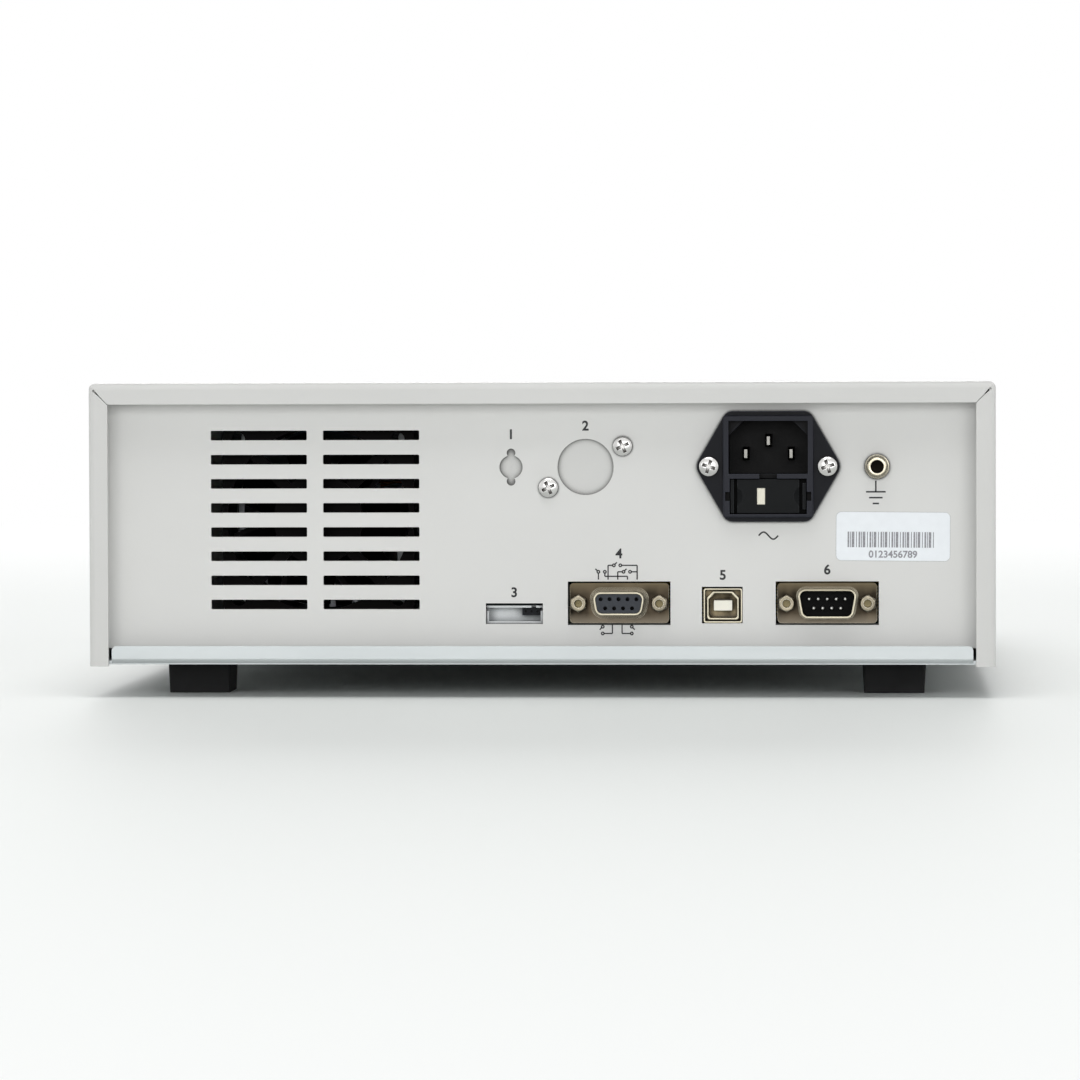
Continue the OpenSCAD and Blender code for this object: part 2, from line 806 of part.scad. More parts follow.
module top_cover() color(paint) difference() {
    cover_solid(case_w / 2, top_z, y_rear, cover_front, cover_z, bend_r);
    cover_solid(cover_in, top_z - sheet_t, y_rear - sheet_t, cover_front - 1, cover_z - 1, cover_in_r);
    translate([-case_w / 2 + return_w, y_rear - sheet_t - 1, cover_z - 1])
        cube([case_w - 2 * return_w, sheet_t + 2, case_h - return_top + 1]);
    for (side = [-1, 1]) mitre_slit(side);
    for (i = [0:side_slots - 1])
        translate([0, y_front + side_slot_y + i * side_slot_pitch, floor_z + side_slot_v])
            rotate([90, 0, 90]) linear_extrude(case_w + 2, center = true)
                rounded_rect(side_slot_w, side_slot_h, side_slot_w / 2 - 0.1);
    at_side_screws() side_screw_cone(side_screw_play);
}

module lip_profile(y0) difference() {
    translate([y0, 0]) square([lip_y - y0, lip_h]);
    translate([y0 - 1, sheet_t]) square([lip_y - sheet_t - y0 + 1, lip_h]);
    translate([lip_y - lip_bend_r, lip_bend_r]) difference() {
        translate([0, -lip_bend_r - 1]) square(lip_bend_r + 1);
        circle(lip_bend_r);
    }
}

module bottom_chassis() color(zinc) difference() {
    union() {
        translate([-wall_out, cover_front, floor_z]) cube([2 * wall_out, floor_rear - cover_front, sheet_t]);
        for (side = [0, 1]) mirror([side, 0, 0])
            translate([wall_in, cover_front + spigot_len + 1, floor_z])
                cube([sheet_t, floor_rear - cover_front - spigot_len - 1, wall_h]);
        intersection() {
            translate([-lip_half, 0, floor_z]) rotate([90, 0, 90]) linear_extrude(2 * lip_half)
                lip_profile(floor_rear - 2);
            translate([0, y_rear, floor_z]) rotate([90, 0, 0]) linear_extrude(panel_recess + 4)
                arch_rect(2 * lip_half, lip_h, lip_r);
        }
    }
    for (p = feet_at) translate([p[0], p[1], floor_z - 1]) cylinder(r = screw_hole_r, h = sheet_t + 2);
    at_side_screws() translate([-sheet_t - fit_gap - 1, 0, 0]) rotate([0, 90, 0])
        cylinder(r = screw_hole_r, h = sheet_t + 2);
}

module feet() color(black) for (p = feet_at) translate([p[0], p[1], 0]) difference() {
    intersection() {
        linear_extrude(foot_h) rounded_rect(foot_w, foot_w, foot_r);
        rotate([90, 0, 0]) linear_extrude(foot_w + 2, center = true) foot_profile();
        rotate([90, 0, 90]) linear_extrude(foot_w + 2, center = true) foot_profile();
    }
    translate([0, 0, -1]) cylinder(r = foot_recess_r, h = foot_recess_h + 1);
    translate([0, 0, -1]) cylinder(r = screw_hole_r, h = foot_h + 2);
}

module foot_profile() polygon([[-foot_w / 2 + foot_draft, 0], [foot_w / 2 - foot_draft, 0],
    [foot_w / 2, foot_h], [-foot_w / 2, foot_h]]);

module case_screws() color(steel) {
    for (p = feet_at) translate([p[0], p[1], foot_recess_h]) rotate([180, 0, 0])
        pan_screw(foot_h - foot_recess_h + sheet_t + screw_hold);
    at_side_screws() difference() {
        union() {
            side_screw_cone(0);
            translate([-side_screw_len, 0, 0]) rotate([0, 90, 0])
                cylinder(r = screw_r, h = side_screw_len + eps);
        }
        rotate([0, 90, 0]) cross_recess(sheet_t, side_cross_span, side_cross_deep);
    }
}

// Rear panel and what closes its spare holes

module inlet_cutout() rounded_rect(inlet_body_w + 2 * inlet_hole_gap, inlet_body_h + 2 * inlet_hole_gap, 1);

module rear_panel() color(paint) difference() {
    union() {
        translate([-panel_half, panel_y - panel_t, floor_top])
            cube([2 * panel_half, panel_t, panel_top - floor_top]);
        for (side = [0, 1]) mirror([side, 0, 0])
            translate([panel_half - panel_t, panel_y - panel_flange, floor_top])
                cube([panel_t, panel_flange, panel_top - floor_top]);
    }
    for (side = [0, 1]) mirror([side, 0, 0])
        translate([lip_half - 1, panel_y - panel_flange - 1, floor_top - 1])
            cube([panel_half - lip_half + 2, panel_flange + 2, panel_notch_h + 1]);
    for (c = [-1, 1], r = [0:vent_rows - 1])
        at_rear(vent_u + c * (vent_w + vent_gap) / 2, vent_v + (r - (vent_rows - 1) / 2) * vent_pitch)
            through(panel_t) rounded_rect(vent_w, vent_h, vent_corner_r);
    at_rear(rtn_hole_u, output_v) through(panel_t) {
        circle(rtn_hole_r);
        for (s = [-1, 1]) translate([0, s * rtn_notch_d]) circle(rtn_notch_r);
    }
    at_rear(hv_hole_u, output_v) through(panel_t) circle(hv_hole_r);
    at_blank_screws() through(panel_t) circle(screw_hole_r);
    at_inlet() through(panel_t) {
        inlet_cutout();
        for (s = [-1, 1]) translate([s * inlet_pitch / 2, 0]) circle(screw_hole_r);
    }
    at_rear(ground_u, ground_v) through(panel_t) circle(ground_r + ground_play);
    at_rear(signal_u, signal_v) through(panel_t) square([signal_w, signal_h], center = true);
    for (u = [handler_u, serial_u]) at_rear(u, port_v) through(panel_t)
        square([dsub_w + 2 * cutout_gap, dsub_h + 2 * cutout_gap], center = true);
    at_rear(usb_u, usb_v) through(panel_t) translate([-usb_w / 2 - cutout_gap, -usb_h / 2 - usb_play])
        square([usb_w + cutout_gap + usb_play, usb_h + cutout_gap + usb_play]);
}

module at_blank_screws() for (s = [-1, 1])
    at_rear(hv_hole_u + s * blank_screw_u, output_v + s * blank_screw_v) children();

module blank_plate() color(paint) difference() {
    at_rear((blank_left + blank_right) / 2, output_v)
        slab(blank_right - blank_left, 2 * blank_half_h, -panel_t - blank_t, -panel_t, 2);
    at_blank_screws() through(panel_t + blank_t) circle(screw_r + side_screw_play);
}

module panel_screws() color(steel) {
    at_blank_screws() rotate(25) pan_screw(panel_t + blank_t + screw_hold);
    at_inlet() for (s = [-1, 1]) translate([s * inlet_pitch / 2, 0, inlet_flange_t])
        rotate(s * 18) pan_screw(inlet_flange_t + panel_t + screw_hold);
}

// Mains inlet with its fuse drawer

module inlet_outline() hull() {
    for (sx = [-1, 1], sy = [-1, 1])
        translate([sx * (inlet_rim_w / 2 - inlet_corner_r), sy * (inlet_h / 2 - inlet_corner_r)])
            circle(inlet_corner_r, $fn = 32);
    for (s = [-1, 1]) translate([s * inlet_pitch / 2, 0]) circle((inlet_w - inlet_pitch) / 2, $fn = 32);
}

module socket_outline() {
    w = socket_w / 2;
    h = socket_h / 2;
    polygon([[-w, -h], [w, -h], [w, h - socket_chamfer], [w - socket_chamfer, h],
        [-w + socket_chamfer, h], [-w, h - socket_chamfer]]);
}

module inlet_body() color(black) at_inlet() difference() {
    union() {
        linear_extrude(inlet_flange_t) inlet_outline();
        soft_block(inlet_rim_w, inlet_rim_h, 0, inlet_face, 1.2, inlet_edge_r);
        slab(inlet_body_w, inlet_body_h, -inlet_depth, 0, 1);
    }
    translate([0, socket_dv, inlet_face - mouth_t]) linear_extrude(mouth_t + 1)
        square([socket_w, socket_h], center = true);
    translate([0, socket_dv, socket_back]) linear_extrude(socket_depth) socket_outline();
    translate([0, -drawer_dv, inlet_face - drawer_depth]) linear_extrude(drawer_depth + 1)
        square([drawer_w, drawer_h], center = true);
    translate([-pry_w / 2, -drawer_dv, inlet_face - pry_d]) cube([pry_w, socket_dv + drawer_dv, pry_d + 1]);
    for (s = [-1, 1]) translate([s * drawer_w / 2 - latch_w, -drawer_dv - latch_h / 2, inlet_face - latch_d])
        cube([2 * latch_w, latch_h, latch_d + 1]);
    for (p = blades_at) translate([p[0], p[1], -inlet_depth - 1]) linear_extrude(inlet_depth)
        square([blade_w + 2 * blade_play, blade_h + 2 * blade_play], center = true);
    for (s = [-1, 1]) translate([s * inlet_pitch / 2, 0, -1])
        cylinder(r = screw_hole_r, h = inlet_flange_t + 2);
}

// Side view of a contact blade, with its bevelled tip up
module blade_profile(w, bevel) {
    len = blade_tip + inlet_depth + blade_tail;
    polygon([[-w / 2, 0], [w / 2, 0], [w / 2, len - 2 * bevel], [w / 2 - bevel, len],
        [-w / 2 + bevel, len], [-w / 2, len - 2 * bevel]]);
}

module inlet_pins() color(nickel) at_inlet() for (p = blades_at)
    translate([p[0], p[1], -inlet_depth - blade_tail]) intersection() {
        rotate([90, 0, 0]) linear_extrude(blade_h + 1, center = true) blade_profile(blade_w, blade_bevel_w);
        rotate([90, 0, 90]) linear_extrude(blade_w + 1, center = true) blade_profile(blade_h, blade_bevel_h);
    }

module fuse_drawer() color(black) at_inlet() translate([0, -drawer_dv, 0]) difference() {
    union() {
        soft_block(drawer_front_w, drawer_front_h, drawer_face - drawer_front_t, drawer_face,
            drawer_corner_r, drawer_edge_r);
        translate([-tray_w / 2, -tray_h / 2, drawer_back])
            cube([tray_w, tray_h, drawer_face - drawer_front_t - drawer_back + eps]);
    }
    for (s = [-1, 1]) {
        translate([s * (face_half + groove_w / 2) - groove_w / 2, -drawer_front_h, drawer_face - groove_d])
            cube([groove_w, 2 * drawer_front_h, groove_d + 1]);
        translate([face_half + groove_w - eps, s * (finger_h + drawer_front_h) / 2 - drawer_front_h / 2,
            drawer_face - groove_d]) cube([finger_w + 1, drawer_front_h, groove_d + 1]);
        intersection() {
            translate([s * (face_half + scoop_out), 0, drawer_face + scoop_lift]) sphere(scoop_r);
            translate([-face_half - eps, -drawer_front_h, drawer_face - groove_d])
                cube([2 * (face_half + eps), 2 * drawer_front_h, 2 * groove_d]);
        }
        translate([s * fuse_du, 0, drawer_back - 1])
            cylinder(r = fuse_r + fuse_play, h = drawer_face - drawer_front_t - drawer_back);
    }
    translate([tab_u - tab_w / 2, -tab_h / 2, drawer_face - tab_pocket]) cube([tab_w, tab_h, tab_pocket + 1]);
}

module voltage_tab() color("#d9d3b4") at_inlet()
    translate([tab_u - tab_w / 2 + tab_play, -drawer_dv - tab_h / 2 + tab_play, drawer_face - tab_pocket])
        cube([tab_w - 2 * tab_play, tab_h - 2 * tab_play, tab_t]);

module fuses() color("#dfe6e6") at_inlet() for (s = [-1, 1])
    translate([s * fuse_du, -drawer_dv, drawer_face - drawer_front_t - 1 - fuse_len])
        cylinder(r = fuse_r, h = fuse_len);

// Ground socket

module ground_terminal() color(nickel) at_rear(ground_u, ground_v) difference() {
    union() {
        cylinder(r = ground_flange_r, h = ground_flange_t);
        cylinder(r = ground_nose_r, h = ground_proud - ground_bevel);
        translate([0, 0, ground_proud - ground_bevel])
            cylinder(r1 = ground_nose_r, r2 = ground_nose_r - ground_bevel, h = ground_bevel);
        translate([0, 0, -ground_tail]) cylinder(r = ground_r, h = ground_tail + eps);
    }
    translate([0, 0, ground_proud - ground_bore_d]) cylinder(r = ground_bore_r, h = ground_bore_d + 1);
}

module ground_nut() color(nickel) at_rear(ground_u, ground_v) difference() {
    hex_bar(ground_nut_flats, -panel_t - ground_nut_t, -panel_t);
    translate([0, 0, -panel_t - ground_nut_t - 1]) cylinder(r = ground_r + ground_play, h = ground_nut_t + 2);
}

// D-shaped ports on the interface board

module dsub_outline(w, h, r) hull() {
    low = w / 2 - r - (h - 2 * r) * tan(dsub_slope);
    for (s = [-1, 1]) {
        translate([s * (w / 2 - r), h / 2 - r]) circle(r, $fn = 32);
        translate([s * low, -h / 2 + r]) circle(r, $fn = 32);
    }
}

// Shell whose foot spreads on to the flange in low steps
module dsub_shell(w, h, root) difference() {
    union() {
        slab(dsub_w, dsub_h, -dsub_flange_t, 0, 1.3);
        linear_extrude(dsub_proud) dsub_outline(w, h, dsub_corner_r);
        for (i = [1:root_steps]) {
            spread = root * (root_steps + 1 - i) / root_steps;
            linear_extrude(root * pow(i / root_steps, 2))
                dsub_outline(w + 2 * spread, h + 2 * spread, dsub_corner_r + spread);
        }
        slab(dsub_can_w, dsub_can_h, -dsub_can_d, -dsub_flange_t + eps, 1.5);
    }
    translate([0, 0, -dsub_can_d - 1]) linear_extrude(dsub_can_d + dsub_proud + 2)
        dsub_outline(w - 2 * dsub_shell_t, h - 2 * dsub_shell_t, dsub_corner_r - dsub_shell_t);
    for (s = [-1, 1]) translate([s * dsub_pitch / 2, 0, -dsub_flange_t - 1])
        cylinder(r = jack_hole_r, h = dsub_flange_t + 2);
}

// Insulator from the board up to the given face, with a block that stands on the board behind the can
module dsub_insert(w, h, face) {
    inset = dsub_shell_t + insert_play;
    translate([0, 0, -dsub_can_d - eps]) linear_extrude(face + dsub_can_d + eps)
        dsub_outline(w - 2 * inset, h - 2 * inset, dsub_corner_r - inset);
    low = board_v - port_v;
    translate([-dsub_block_w / 2, low, -dsub_can_d - dsub_block_d])
        cube([dsub_block_w, dsub_can_h / 2 - low, dsub_block_d]);
}

module handler_shell() color(nickel) at_port(handler_u) dsub_shell(socket_d_w, socket_d_h, socket_root);

module handler_insert() color("#43474f") at_port(handler_u) difference() {
    dsub_insert(socket_d_w, socket_d_h, dsub_proud - socket_lip);
    for (p = dsub_pins) translate([p[0], p[1], 0]) cylinder(r = dsub_hole_r, h = dsub_proud + 1);
}

module serial_shell() color(nickel) at_port(serial_u) dsub_shell(pin_d_w, pin_d_h, pin_root);

module serial_insert() color(black) at_port(serial_u) difference() {
    dsub_insert(pin_d_w, pin_d_h, pin_floor);
    for (p = dsub_pins) translate([p[0], p[1], -pin_tail])
        cylinder(r = dsub_pin_r + insert_play, h = 2 * pin_tail);
}

module serial_pins() color("#d8d2c0") at_port(serial_u) for (p = dsub_pins) translate([p[0], p[1], -pin_tail]) {
    shank = pin_tail + dsub_proud - pin_short - dsub_pin_r;
    cylinder(r = dsub_pin_r, h = shank);
    translate([0, 0, shank]) intersection() {
        sphere(dsub_pin_r);
        cylinder(r = dsub_pin_r, h = dsub_pin_r);
    }
}

module jackscrews() color(nickel) for (u = [handler_u, serial_u], s = [-1, 1])
    at_port(u) translate([s * dsub_pitch / 2, 0, 0]) difference() {
        union() {
            intersection() {
                hex_bar(jack_flats, 0, jack_len);
                cylinder(r1 = jack_top_r + jack_len, r2 = jack_top_r, h = jack_len);
            }
            translate([0, 0, -jack_shank]) cylinder(r = jack_shank_r, h = jack_shank + eps);
        }
        translate([0, 0, jack_len - jack_bore_d]) cylinder(r = jack_bore_r, h = jack_bore_d + 1);
    }

// Square port

module usb_outline(w, h) {
    polygon([[-w / 2 + usb_corner, -h / 2], [w / 2 - usb_corner, -h / 2], [w / 2, -h / 2 + usb_corner],
        [w / 2, h / 2 - usb_chamfer], [w / 2 - usb_chamfer, h / 2], [-w / 2 + usb_chamfer, h / 2],
        [-w / 2, h / 2 - usb_chamfer], [-w / 2, -h / 2 + usb_corner]]);
    for (s = [-1, 1]) translate([s * (w / 2 - usb_corner), -h / 2 + usb_corner]) circle(usb_corner);
}

module usb_shell() color(nickel) at_rear(usb_u, usb_v) translate([0, 0, usb_front]) difference() {
    slab(usb_w, usb_h, -usb_len, 0, 0.7);
    translate([0, 0, -usb_groove]) linear_extrude(usb_groove + 1) difference() {
        rounded_rect(usb_w - 2 * usb_wall, usb_h - 2 * usb_wall, 0.4);
        usb_outline(usb_mouth_w, usb_mouth_h);
    }
    translate([0, 0, -usb_depth]) linear_extrude(usb_depth + 1)
        usb_outline(usb_mouth_w - 2 * usb_wall, usb_mouth_h - 2 * usb_wall);
}

module usb_tongue() color("white") at_rear(usb_u, usb_v) translate([0, 0, usb_front])
    slab(tongue_w, tongue_h, -usb_depth, -tongue_short, 0.3);

// Signal port: an open shroud on the board, with a contact block in its upper right corner

module signal_shroud() color("#d4d9dc") at_rear(signal_u, shroud_v) difference() {
    translate([0, 0, signal_front - signal_d]) linear_extrude(signal_d)
        square([shroud_w, shroud_h], center = true);
    translate([0, 0, signal_front - signal_d + signal_wall]) linear_extrude(signal_d)
        square([shroud_w - 2 * signal_wall, shroud_h - 2 * signal_wall], center = true);
    translate([signal_notch_u - signal_notch_w / 2, 0, signal_front - signal_notch_d])
        cube([signal_notch_w, signal_h, signal_notch_d + 1]);
    ear_v = shroud_h / 2 - signal_wall - shroud_ear_h;
    for (s = [-1, 1]) translate([s * shroud_w / 2 - 1, ear_v, signal_front - signal_notch_d])
        cube([2, shroud_ear_h, signal_notch_d + 1]);
}

module signal_block() color(black) at_rear(signal_u, shroud_v) difference() {
    right = shroud_w / 2 - signal_wall;
    top = shroud_h / 2 - signal_wall;
    back = signal_front - signal_d + signal_wall;
    translate([right - signal_block_w, top - signal_block_h, back])
        cube([signal_block_w, signal_block_h, signal_block_d]);
    for (i = [-1:1])
        translate([right - signal_block_w / 2 + i * port_hole_pitch, top - signal_block_h / 2,
            back + signal_block_d - port_hole_d]) cylinder(r = port_hole_r, h = port_hole_d + 1);
}

module interface_board() color(pcb_green) {
    difference() {
        translate([pcb_left, pcb_back - pcb_len, board_z - pcb_t])
            cube([pcb_right - pcb_left, pcb_len, pcb_t]);
        at_standoff_holes();
    }
    driver_y = pcb_back - pcb_len + 1.25 * driver_d;
    for (i = [0:3]) translate([pcb_left + driver_inset + i * driver_pitch, driver_y, board_z - eps])
        slab(driver_w, driver_d, 0, chip_t, 0.6);
}

module at_standoff_holes() for (p = standoffs_at) translate([p[0], p[1], 0])
    cylinder(r = screw_hole_r, h = top_z);

// Fan behind the vents

module at_fan() at_rear(vent_u, vent_v) children();

module fan_frame() color(black) at_fan() difference() {
    union() {
        difference() {
            slab(fan_w, fan_w, fan_back - fan_t, fan_back, fan_corner_r);
            translate([0, 0, fan_back - fan_t - 1]) cylinder(r = fan_r, h = fan_t + 2);
        }
        translate([0, 0, fan_back - motor_t]) cylinder(r = hub_r, h = motor_t);
        for (a = [45:90:315]) rotate(a) translate([hub_r - 1, -strut_w / 2, fan_back - motor_t + strut_inset])
            cube([fan_r - hub_r + 2, strut_w, motor_t - 2 * strut_inset]);
    }
    for (sx = [-1, 1], sy = [-1, 1]) translate([sx * fan_screw_d, sy * fan_screw_d, fan_back - fan_t - 1])
        cylinder(r = fan_screw_r, h = fan_t + 2);
    translate([0, 0, fan_back - motor_t - 1]) cylinder(r = shaft_r + shaft_play, h = motor_t + 2);
}

module fan_rotor() color("#26272a") at_fan() {
    front = fan_back - motor_t - rotor_gap;
    translate([0, 0, front - blade_len - 1]) cylinder(r = hub_r, h = blade_len + 1);
    translate([0, 0, front - eps]) cylinder(r = shaft_r, h = motor_t + rotor_gap - 0.5);
    intersection() {
        tube(fan_r - blade_clear, hub_r - 1, front - blade_len, front);
        for (i = [0:fan_blades - 1]) rotate(i * 360 / fan_blades)
            translate([0, 0, front - blade_len / 2]) rotate([blade_rake, 0, 0])
                translate([hub_r / 2, -blade_t / 2, -blade_len]) cube([fan_r, blade_t, 2 * blade_len]);
    }
}

module fan_bracket() color(zinc) {
    low = sheet_t - vent_v;
    at_fan() translate([0, 0, fan_back - fan_t - sheet_t]) linear_extrude(sheet_t) difference() {
        translate([-fan_w / 2 - bracket_rim, low]) square([fan_w + 2 * bracket_rim, fan_w / 2 - low]);
        circle(fan_r);
    }
    at_fan() translate([-fan_w / 2 - bracket_rim, low, fan_back - fan_t - bracket_foot])
        cube([fan_w + 2 * bracket_rim, sheet_t, bracket_foot - sheet_t + eps]);
}

// Transformers, heat sink and main board

module hv_core() color("#4b4d50") translate([core_x, core_y, floor_top]) difference() {
    translate([-core_w / 2, -core_stack / 2, 0]) cube([core_w, core_stack, core_h]);
    window = core_w / 2 - 2 * core_leg;
    for (s = [-1, 1]) translate([s * (core_leg + window / 2), 0, core_h / 2])
        cube([window, core_stack + 2, core_h - 2 * core_leg], center = true);
}

module hv_coil() color("#b4713d") translate([core_x, core_y, floor_top + core_leg + coil_gap]) {
    out_w = core_w - 2 * core_leg - 2 * coil_gap;
    out_d = core_stack + 2 * coil_bulge;
    linear_extrude(core_h - 2 * core_leg - 2 * coil_gap) difference() {
        rounded_rect(out_w, out_d, coil_corner_r);
        square([2 * core_leg + 2 * coil_gap, core_stack + 2 * coil_gap], center = true);
    }
}

module mains_toroid() color("#c9a227") translate([toroid_x, toroid_y, floor_top]) rotate_extrude()
    translate([(toroid_r + toroid_hole_r) / 2, toroid_h / 2])
        rounded_rect(toroid_r - toroid_hole_r, toroid_h, toroid_edge_r);

module toroid_clamp() color(steel) translate([toroid_x, toroid_y, floor_top]) {
    translate([0, 0, toroid_h]) cylinder(r = clamp_r, h = clamp_t);
    cylinder(r = clamp_bolt_r, h = toroid_h + clamp_t);
    hex_bar(2.8 * clamp_bolt_r, toroid_h + clamp_t - eps, toroid_h + clamp_t + clamp_head);
}

module heat_sink() color("#b9bcc0") translate([sink_x, sink_y, floor_top]) {
    translate([-sink_w / 2, -sink_len / 2, 0]) cube([sink_w, sink_len, sink_base]);
    for (i = [0:sink_fins - 1])
        translate([-sink_w / 2 + i * (sink_w - fin_t) / (sink_fins - 1), -sink_len / 2, sink_base - eps])
            cube([fin_t, sink_len, sink_h - sink_base]);
}

module main_board() color(pcb_green) {
    difference() {
        translate([main_board_x, main_board_y, board_z - pcb_t])
            slab(main_board_w, main_board_d, 0, pcb_t, 2);
        at_standoff_holes();
    }
    translate([main_board_x, main_board_y, board_z - eps]) {
        for (i = [0:2]) translate([-main_board_w / 2 + chip_inset + i * chip_pitch, -main_board_d / 4])
            slab(chip_w, chip_w, 0, chip_t, 1);
        for (i = [0:3]) translate([-main_board_w / 2 + can_inset + i * can_pitch, main_board_d / 4])
            cylinder(r = can_r, h = can_h);
    }
}

module board_standoffs() color(nickel) for (p = standoffs_at) translate([p[0], p[1], 0])
    hex_bar(standoff_flats, floor_top, floor_top + standoff_h);

// Front moulding and the plate behind it

module bezel_block(w, h, len, r, e) intersection() {
    translate([0, len, 0]) rotate([90, 0, 0]) linear_extrude(len) rounded_rect(w, h, r);
    translate([0, len, 0]) rotate(180) linear_extrude(h + 2, center = true) arch_rect(w, len, e);
    translate([0, len, 0]) rotate([0, 90, 0]) rotate([0, 0, 180]) linear_extrude(w + 2, center = true)
        arch_rect(h, len, e);
}

module front_bezel() color("#c4c6c6") translate([0, y_front, cover_z + case_h / 2]) difference() {
    union() {
        bezel_block(case_w, case_h, bezel_len, bend_r + 1, rim_r);
        translate([0, bezel_len + spigot_len, cover_drop / 2]) rotate([90, 0, 0])
            linear_extrude(spigot_len + eps)
                rounded_rect(case_w - 2 * spigot_in, case_h - 2 * spigot_in - cover_drop, bend_r);
    }
    translate([0, plate_recess + 1, 0]) rotate([90, 0, 0]) linear_extrude(plate_recess + 2)
        rounded_rect(case_w - 2 * rim_w, case_h - 2 * rim_w, 2);
    translate([0, bezel_len + 1, 0]) rotate([90, 0, 0]) linear_extrude(bezel_len + 1 - plate_recess)
        rounded_rect(case_w - 2 * bezel_wall, case_h - 2 * bezel_wall, plate_r);
    translate([0, bezel_len + spigot_len + 1, cover_drop / 2]) rotate([90, 0, 0])
        linear_extrude(spigot_len + 2)
            rounded_rect(case_w - 2 * spigot_in - 2 * spigot_t,
                case_h - 2 * spigot_in - cover_drop - 2 * spigot_t, plate_r);
}

module front_plate() color("#3f4a57") {
    difference() {
        at_front(0, plate_mid_v) slab(plate_w, plate_h, -plate_t, 0, plate_r);
        at_front(display_u, display_v) through(plate_t) rounded_rect(display_w, display_h, 1.5);
        for (p = keys_at) at_front(p[0], p[1]) through(plate_t)
            rounded_rect(key_w + 2 * key_gap, key_h + 2 * key_gap, key_corner_r);
        for (v = [start_v, stop_v]) at_front(button_u, v) through(plate_t) circle(button_r + key_gap);
        at_front(button_u, power_v) through(plate_t)
            rounded_rect(power_w + 2 * key_gap, power_w + 2 * key_gap, key_corner_r);
        for (u = [rtn_u, hv_u]) at_front(u, terminal_v) through(plate_t) circle(neck_r + contact_play);
        at_front(lamp_u, lamp_v) through(plate_t) circle(lamp_r + lamp_play);
    }
    for (p = studs_at) at_front(p[0], p[1]) translate([0, 0, -key_board_z])
        cylinder(r = stud_r, h = key_board_z - plate_t + eps);
    for (v = [start_v, stop_v]) at_front(button_u, v)
        tube(button_r + key_gap + collar_w, button_r + key_gap, -eps, collar_t);
}

module display_window() color("#15181c") at_front(display_u, display_v)
    slab(display_w - 2 * window_play, display_h - 2 * window_play, -window_t, 0, 1.4);

module lcd_module() color("#8f959a") at_front(display_u, display_v)
    slab(display_w + 2 * lcd_rim, display_h + 2 * lcd_rim, -plate_t - lcd_t, -plate_t, 1);

module key_board() color(pcb_green) {
    at_front((key_board_left + key_board_right) / 2, (key_board_low + key_board_high) / 2)
        slab(key_board_right - key_board_left, key_board_high - key_board_low,
            -key_board_z - pcb_t, -key_board_z, 1);
    for (p = keys_at) at_front(p[0], p[1]) {
        slab(tact_w, tact_w, -key_board_z - eps, -key_board_z + tact_body, 0.5);
        translate([0, 0, -key_board_z]) cylinder(r = tact_stem_r, h = tact_body + tact_stem);
    }
}

// A key cap with the flange that keeps it behind the plate
module key(at) at_front(at[0], at[1]) {
    soft_block(key_w, key_h, -key_back, key_proud, key_corner_r, key_edge_r);
    slab(key_w + 2 * key_flange, key_h + 2 * key_flange, -key_back, -key_back + key_flange_t, key_corner_r);
}

module soft_key(i) color("#d9dbdc") key(soft_at[i - 1]);
module menu_key(i) color("#d9dbdc") key(menu_at[i - 1]);
module arrow_key(i) color("#d9dbdc") key(arrows_at[i]);
module enter_key() color("#9fb2c6") key([arrow_u, arrow_v]);

// Push buttons: a cap, its flange in the switch body, and the stem that works the switch

module button_shaft() {
    back = -plate_t - key_gap - button_flange_t;
    translate([0, 0, back - button_stem]) cylinder(r = button_stem_r, h = button_stem + eps);
}

module round_button(v) at_front(button_u, v) {
    back = -plate_t - key_gap - button_flange_t;
    translate([0, 0, back]) intersection() {
        cylinder(r = button_r, h = button_proud - back);
        translate([0, 0, button_proud - back - button_dome_r]) sphere(button_dome_r);
    }
    translate([0, 0, back]) cylinder(r = button_r + button_flange, h = button_flange_t);
    button_shaft();
}

module start_button() color("#2f9e4f") round_button(start_v);
module stop_button() color("#c22f2b") round_button(stop_v);

module power_button() color("#4a4e53") at_front(button_u, power_v) {
    back = -plate_t - key_gap - button_flange_t;
    soft_block(power_w, power_w, back, button_proud, key_corner_r, key_edge_r);
    slab(power_w + 2 * button_flange, power_w + 2 * button_flange, back, back + button_flange_t, key_corner_r);
    button_shaft();
}

module panel_switches() color(black) {
    for (v = [start_v, stop_v]) at_front(button_u, v) difference() {
        translate([0, 0, -plate_t - switch_d])
            cylinder(r = button_r + switch_room + switch_wall, h = switch_d);
        translate([0, 0, -plate_t - switch_d + switch_floor])
            cylinder(r = button_r + switch_room, h = switch_d);
    }
    room = power_w + 2 * switch_room;
    at_front(button_u, power_v) difference() {
        slab(room + 2 * switch_wall, room + 2 * switch_wall, -plate_t - switch_d, -plate_t, 1);
        slab(room, room, -plate_t - switch_d + switch_floor, 0, 1);
    }
}

// Output terminals and the lamp above them

// Half outline of a turned ring from y = y0 to y1 with a round outer front edge
module turned_step(r, y0, y1, e) {
    translate([0, y0]) square([r, y1 - y0 - e]);
    translate([0, y0]) square([r - e, y1 - y0]);
    translate([r - e, y1 - e]) circle(e);
}

module terminal_body() rotate_extrude() difference() {
    union() {
        turned_step(terminal_flange_r, 0, terminal_flange_t, terminal_edge_r);
        turned_step(terminal_r, 0, terminal_proud, terminal_edge_r);
        translate([0, -plate_t - neck_len]) square([neck_r, plate_t + neck_len + eps]);
    }
    translate([-1, -plate_t - neck_len - 1])
        square([contact_r + contact_play + 1, plate_t + neck_len + terminal_proud + 2]);
    translate([-1, terminal_proud - contact_inset]) square([contact_mouth_r + 1, contact_inset + 1]);
}

module hv_terminal() color("#b3201f") at_front(hv_u, terminal_v) terminal_body();
module rtn_terminal() color(black) at_front(rtn_u, terminal_v) terminal_body();

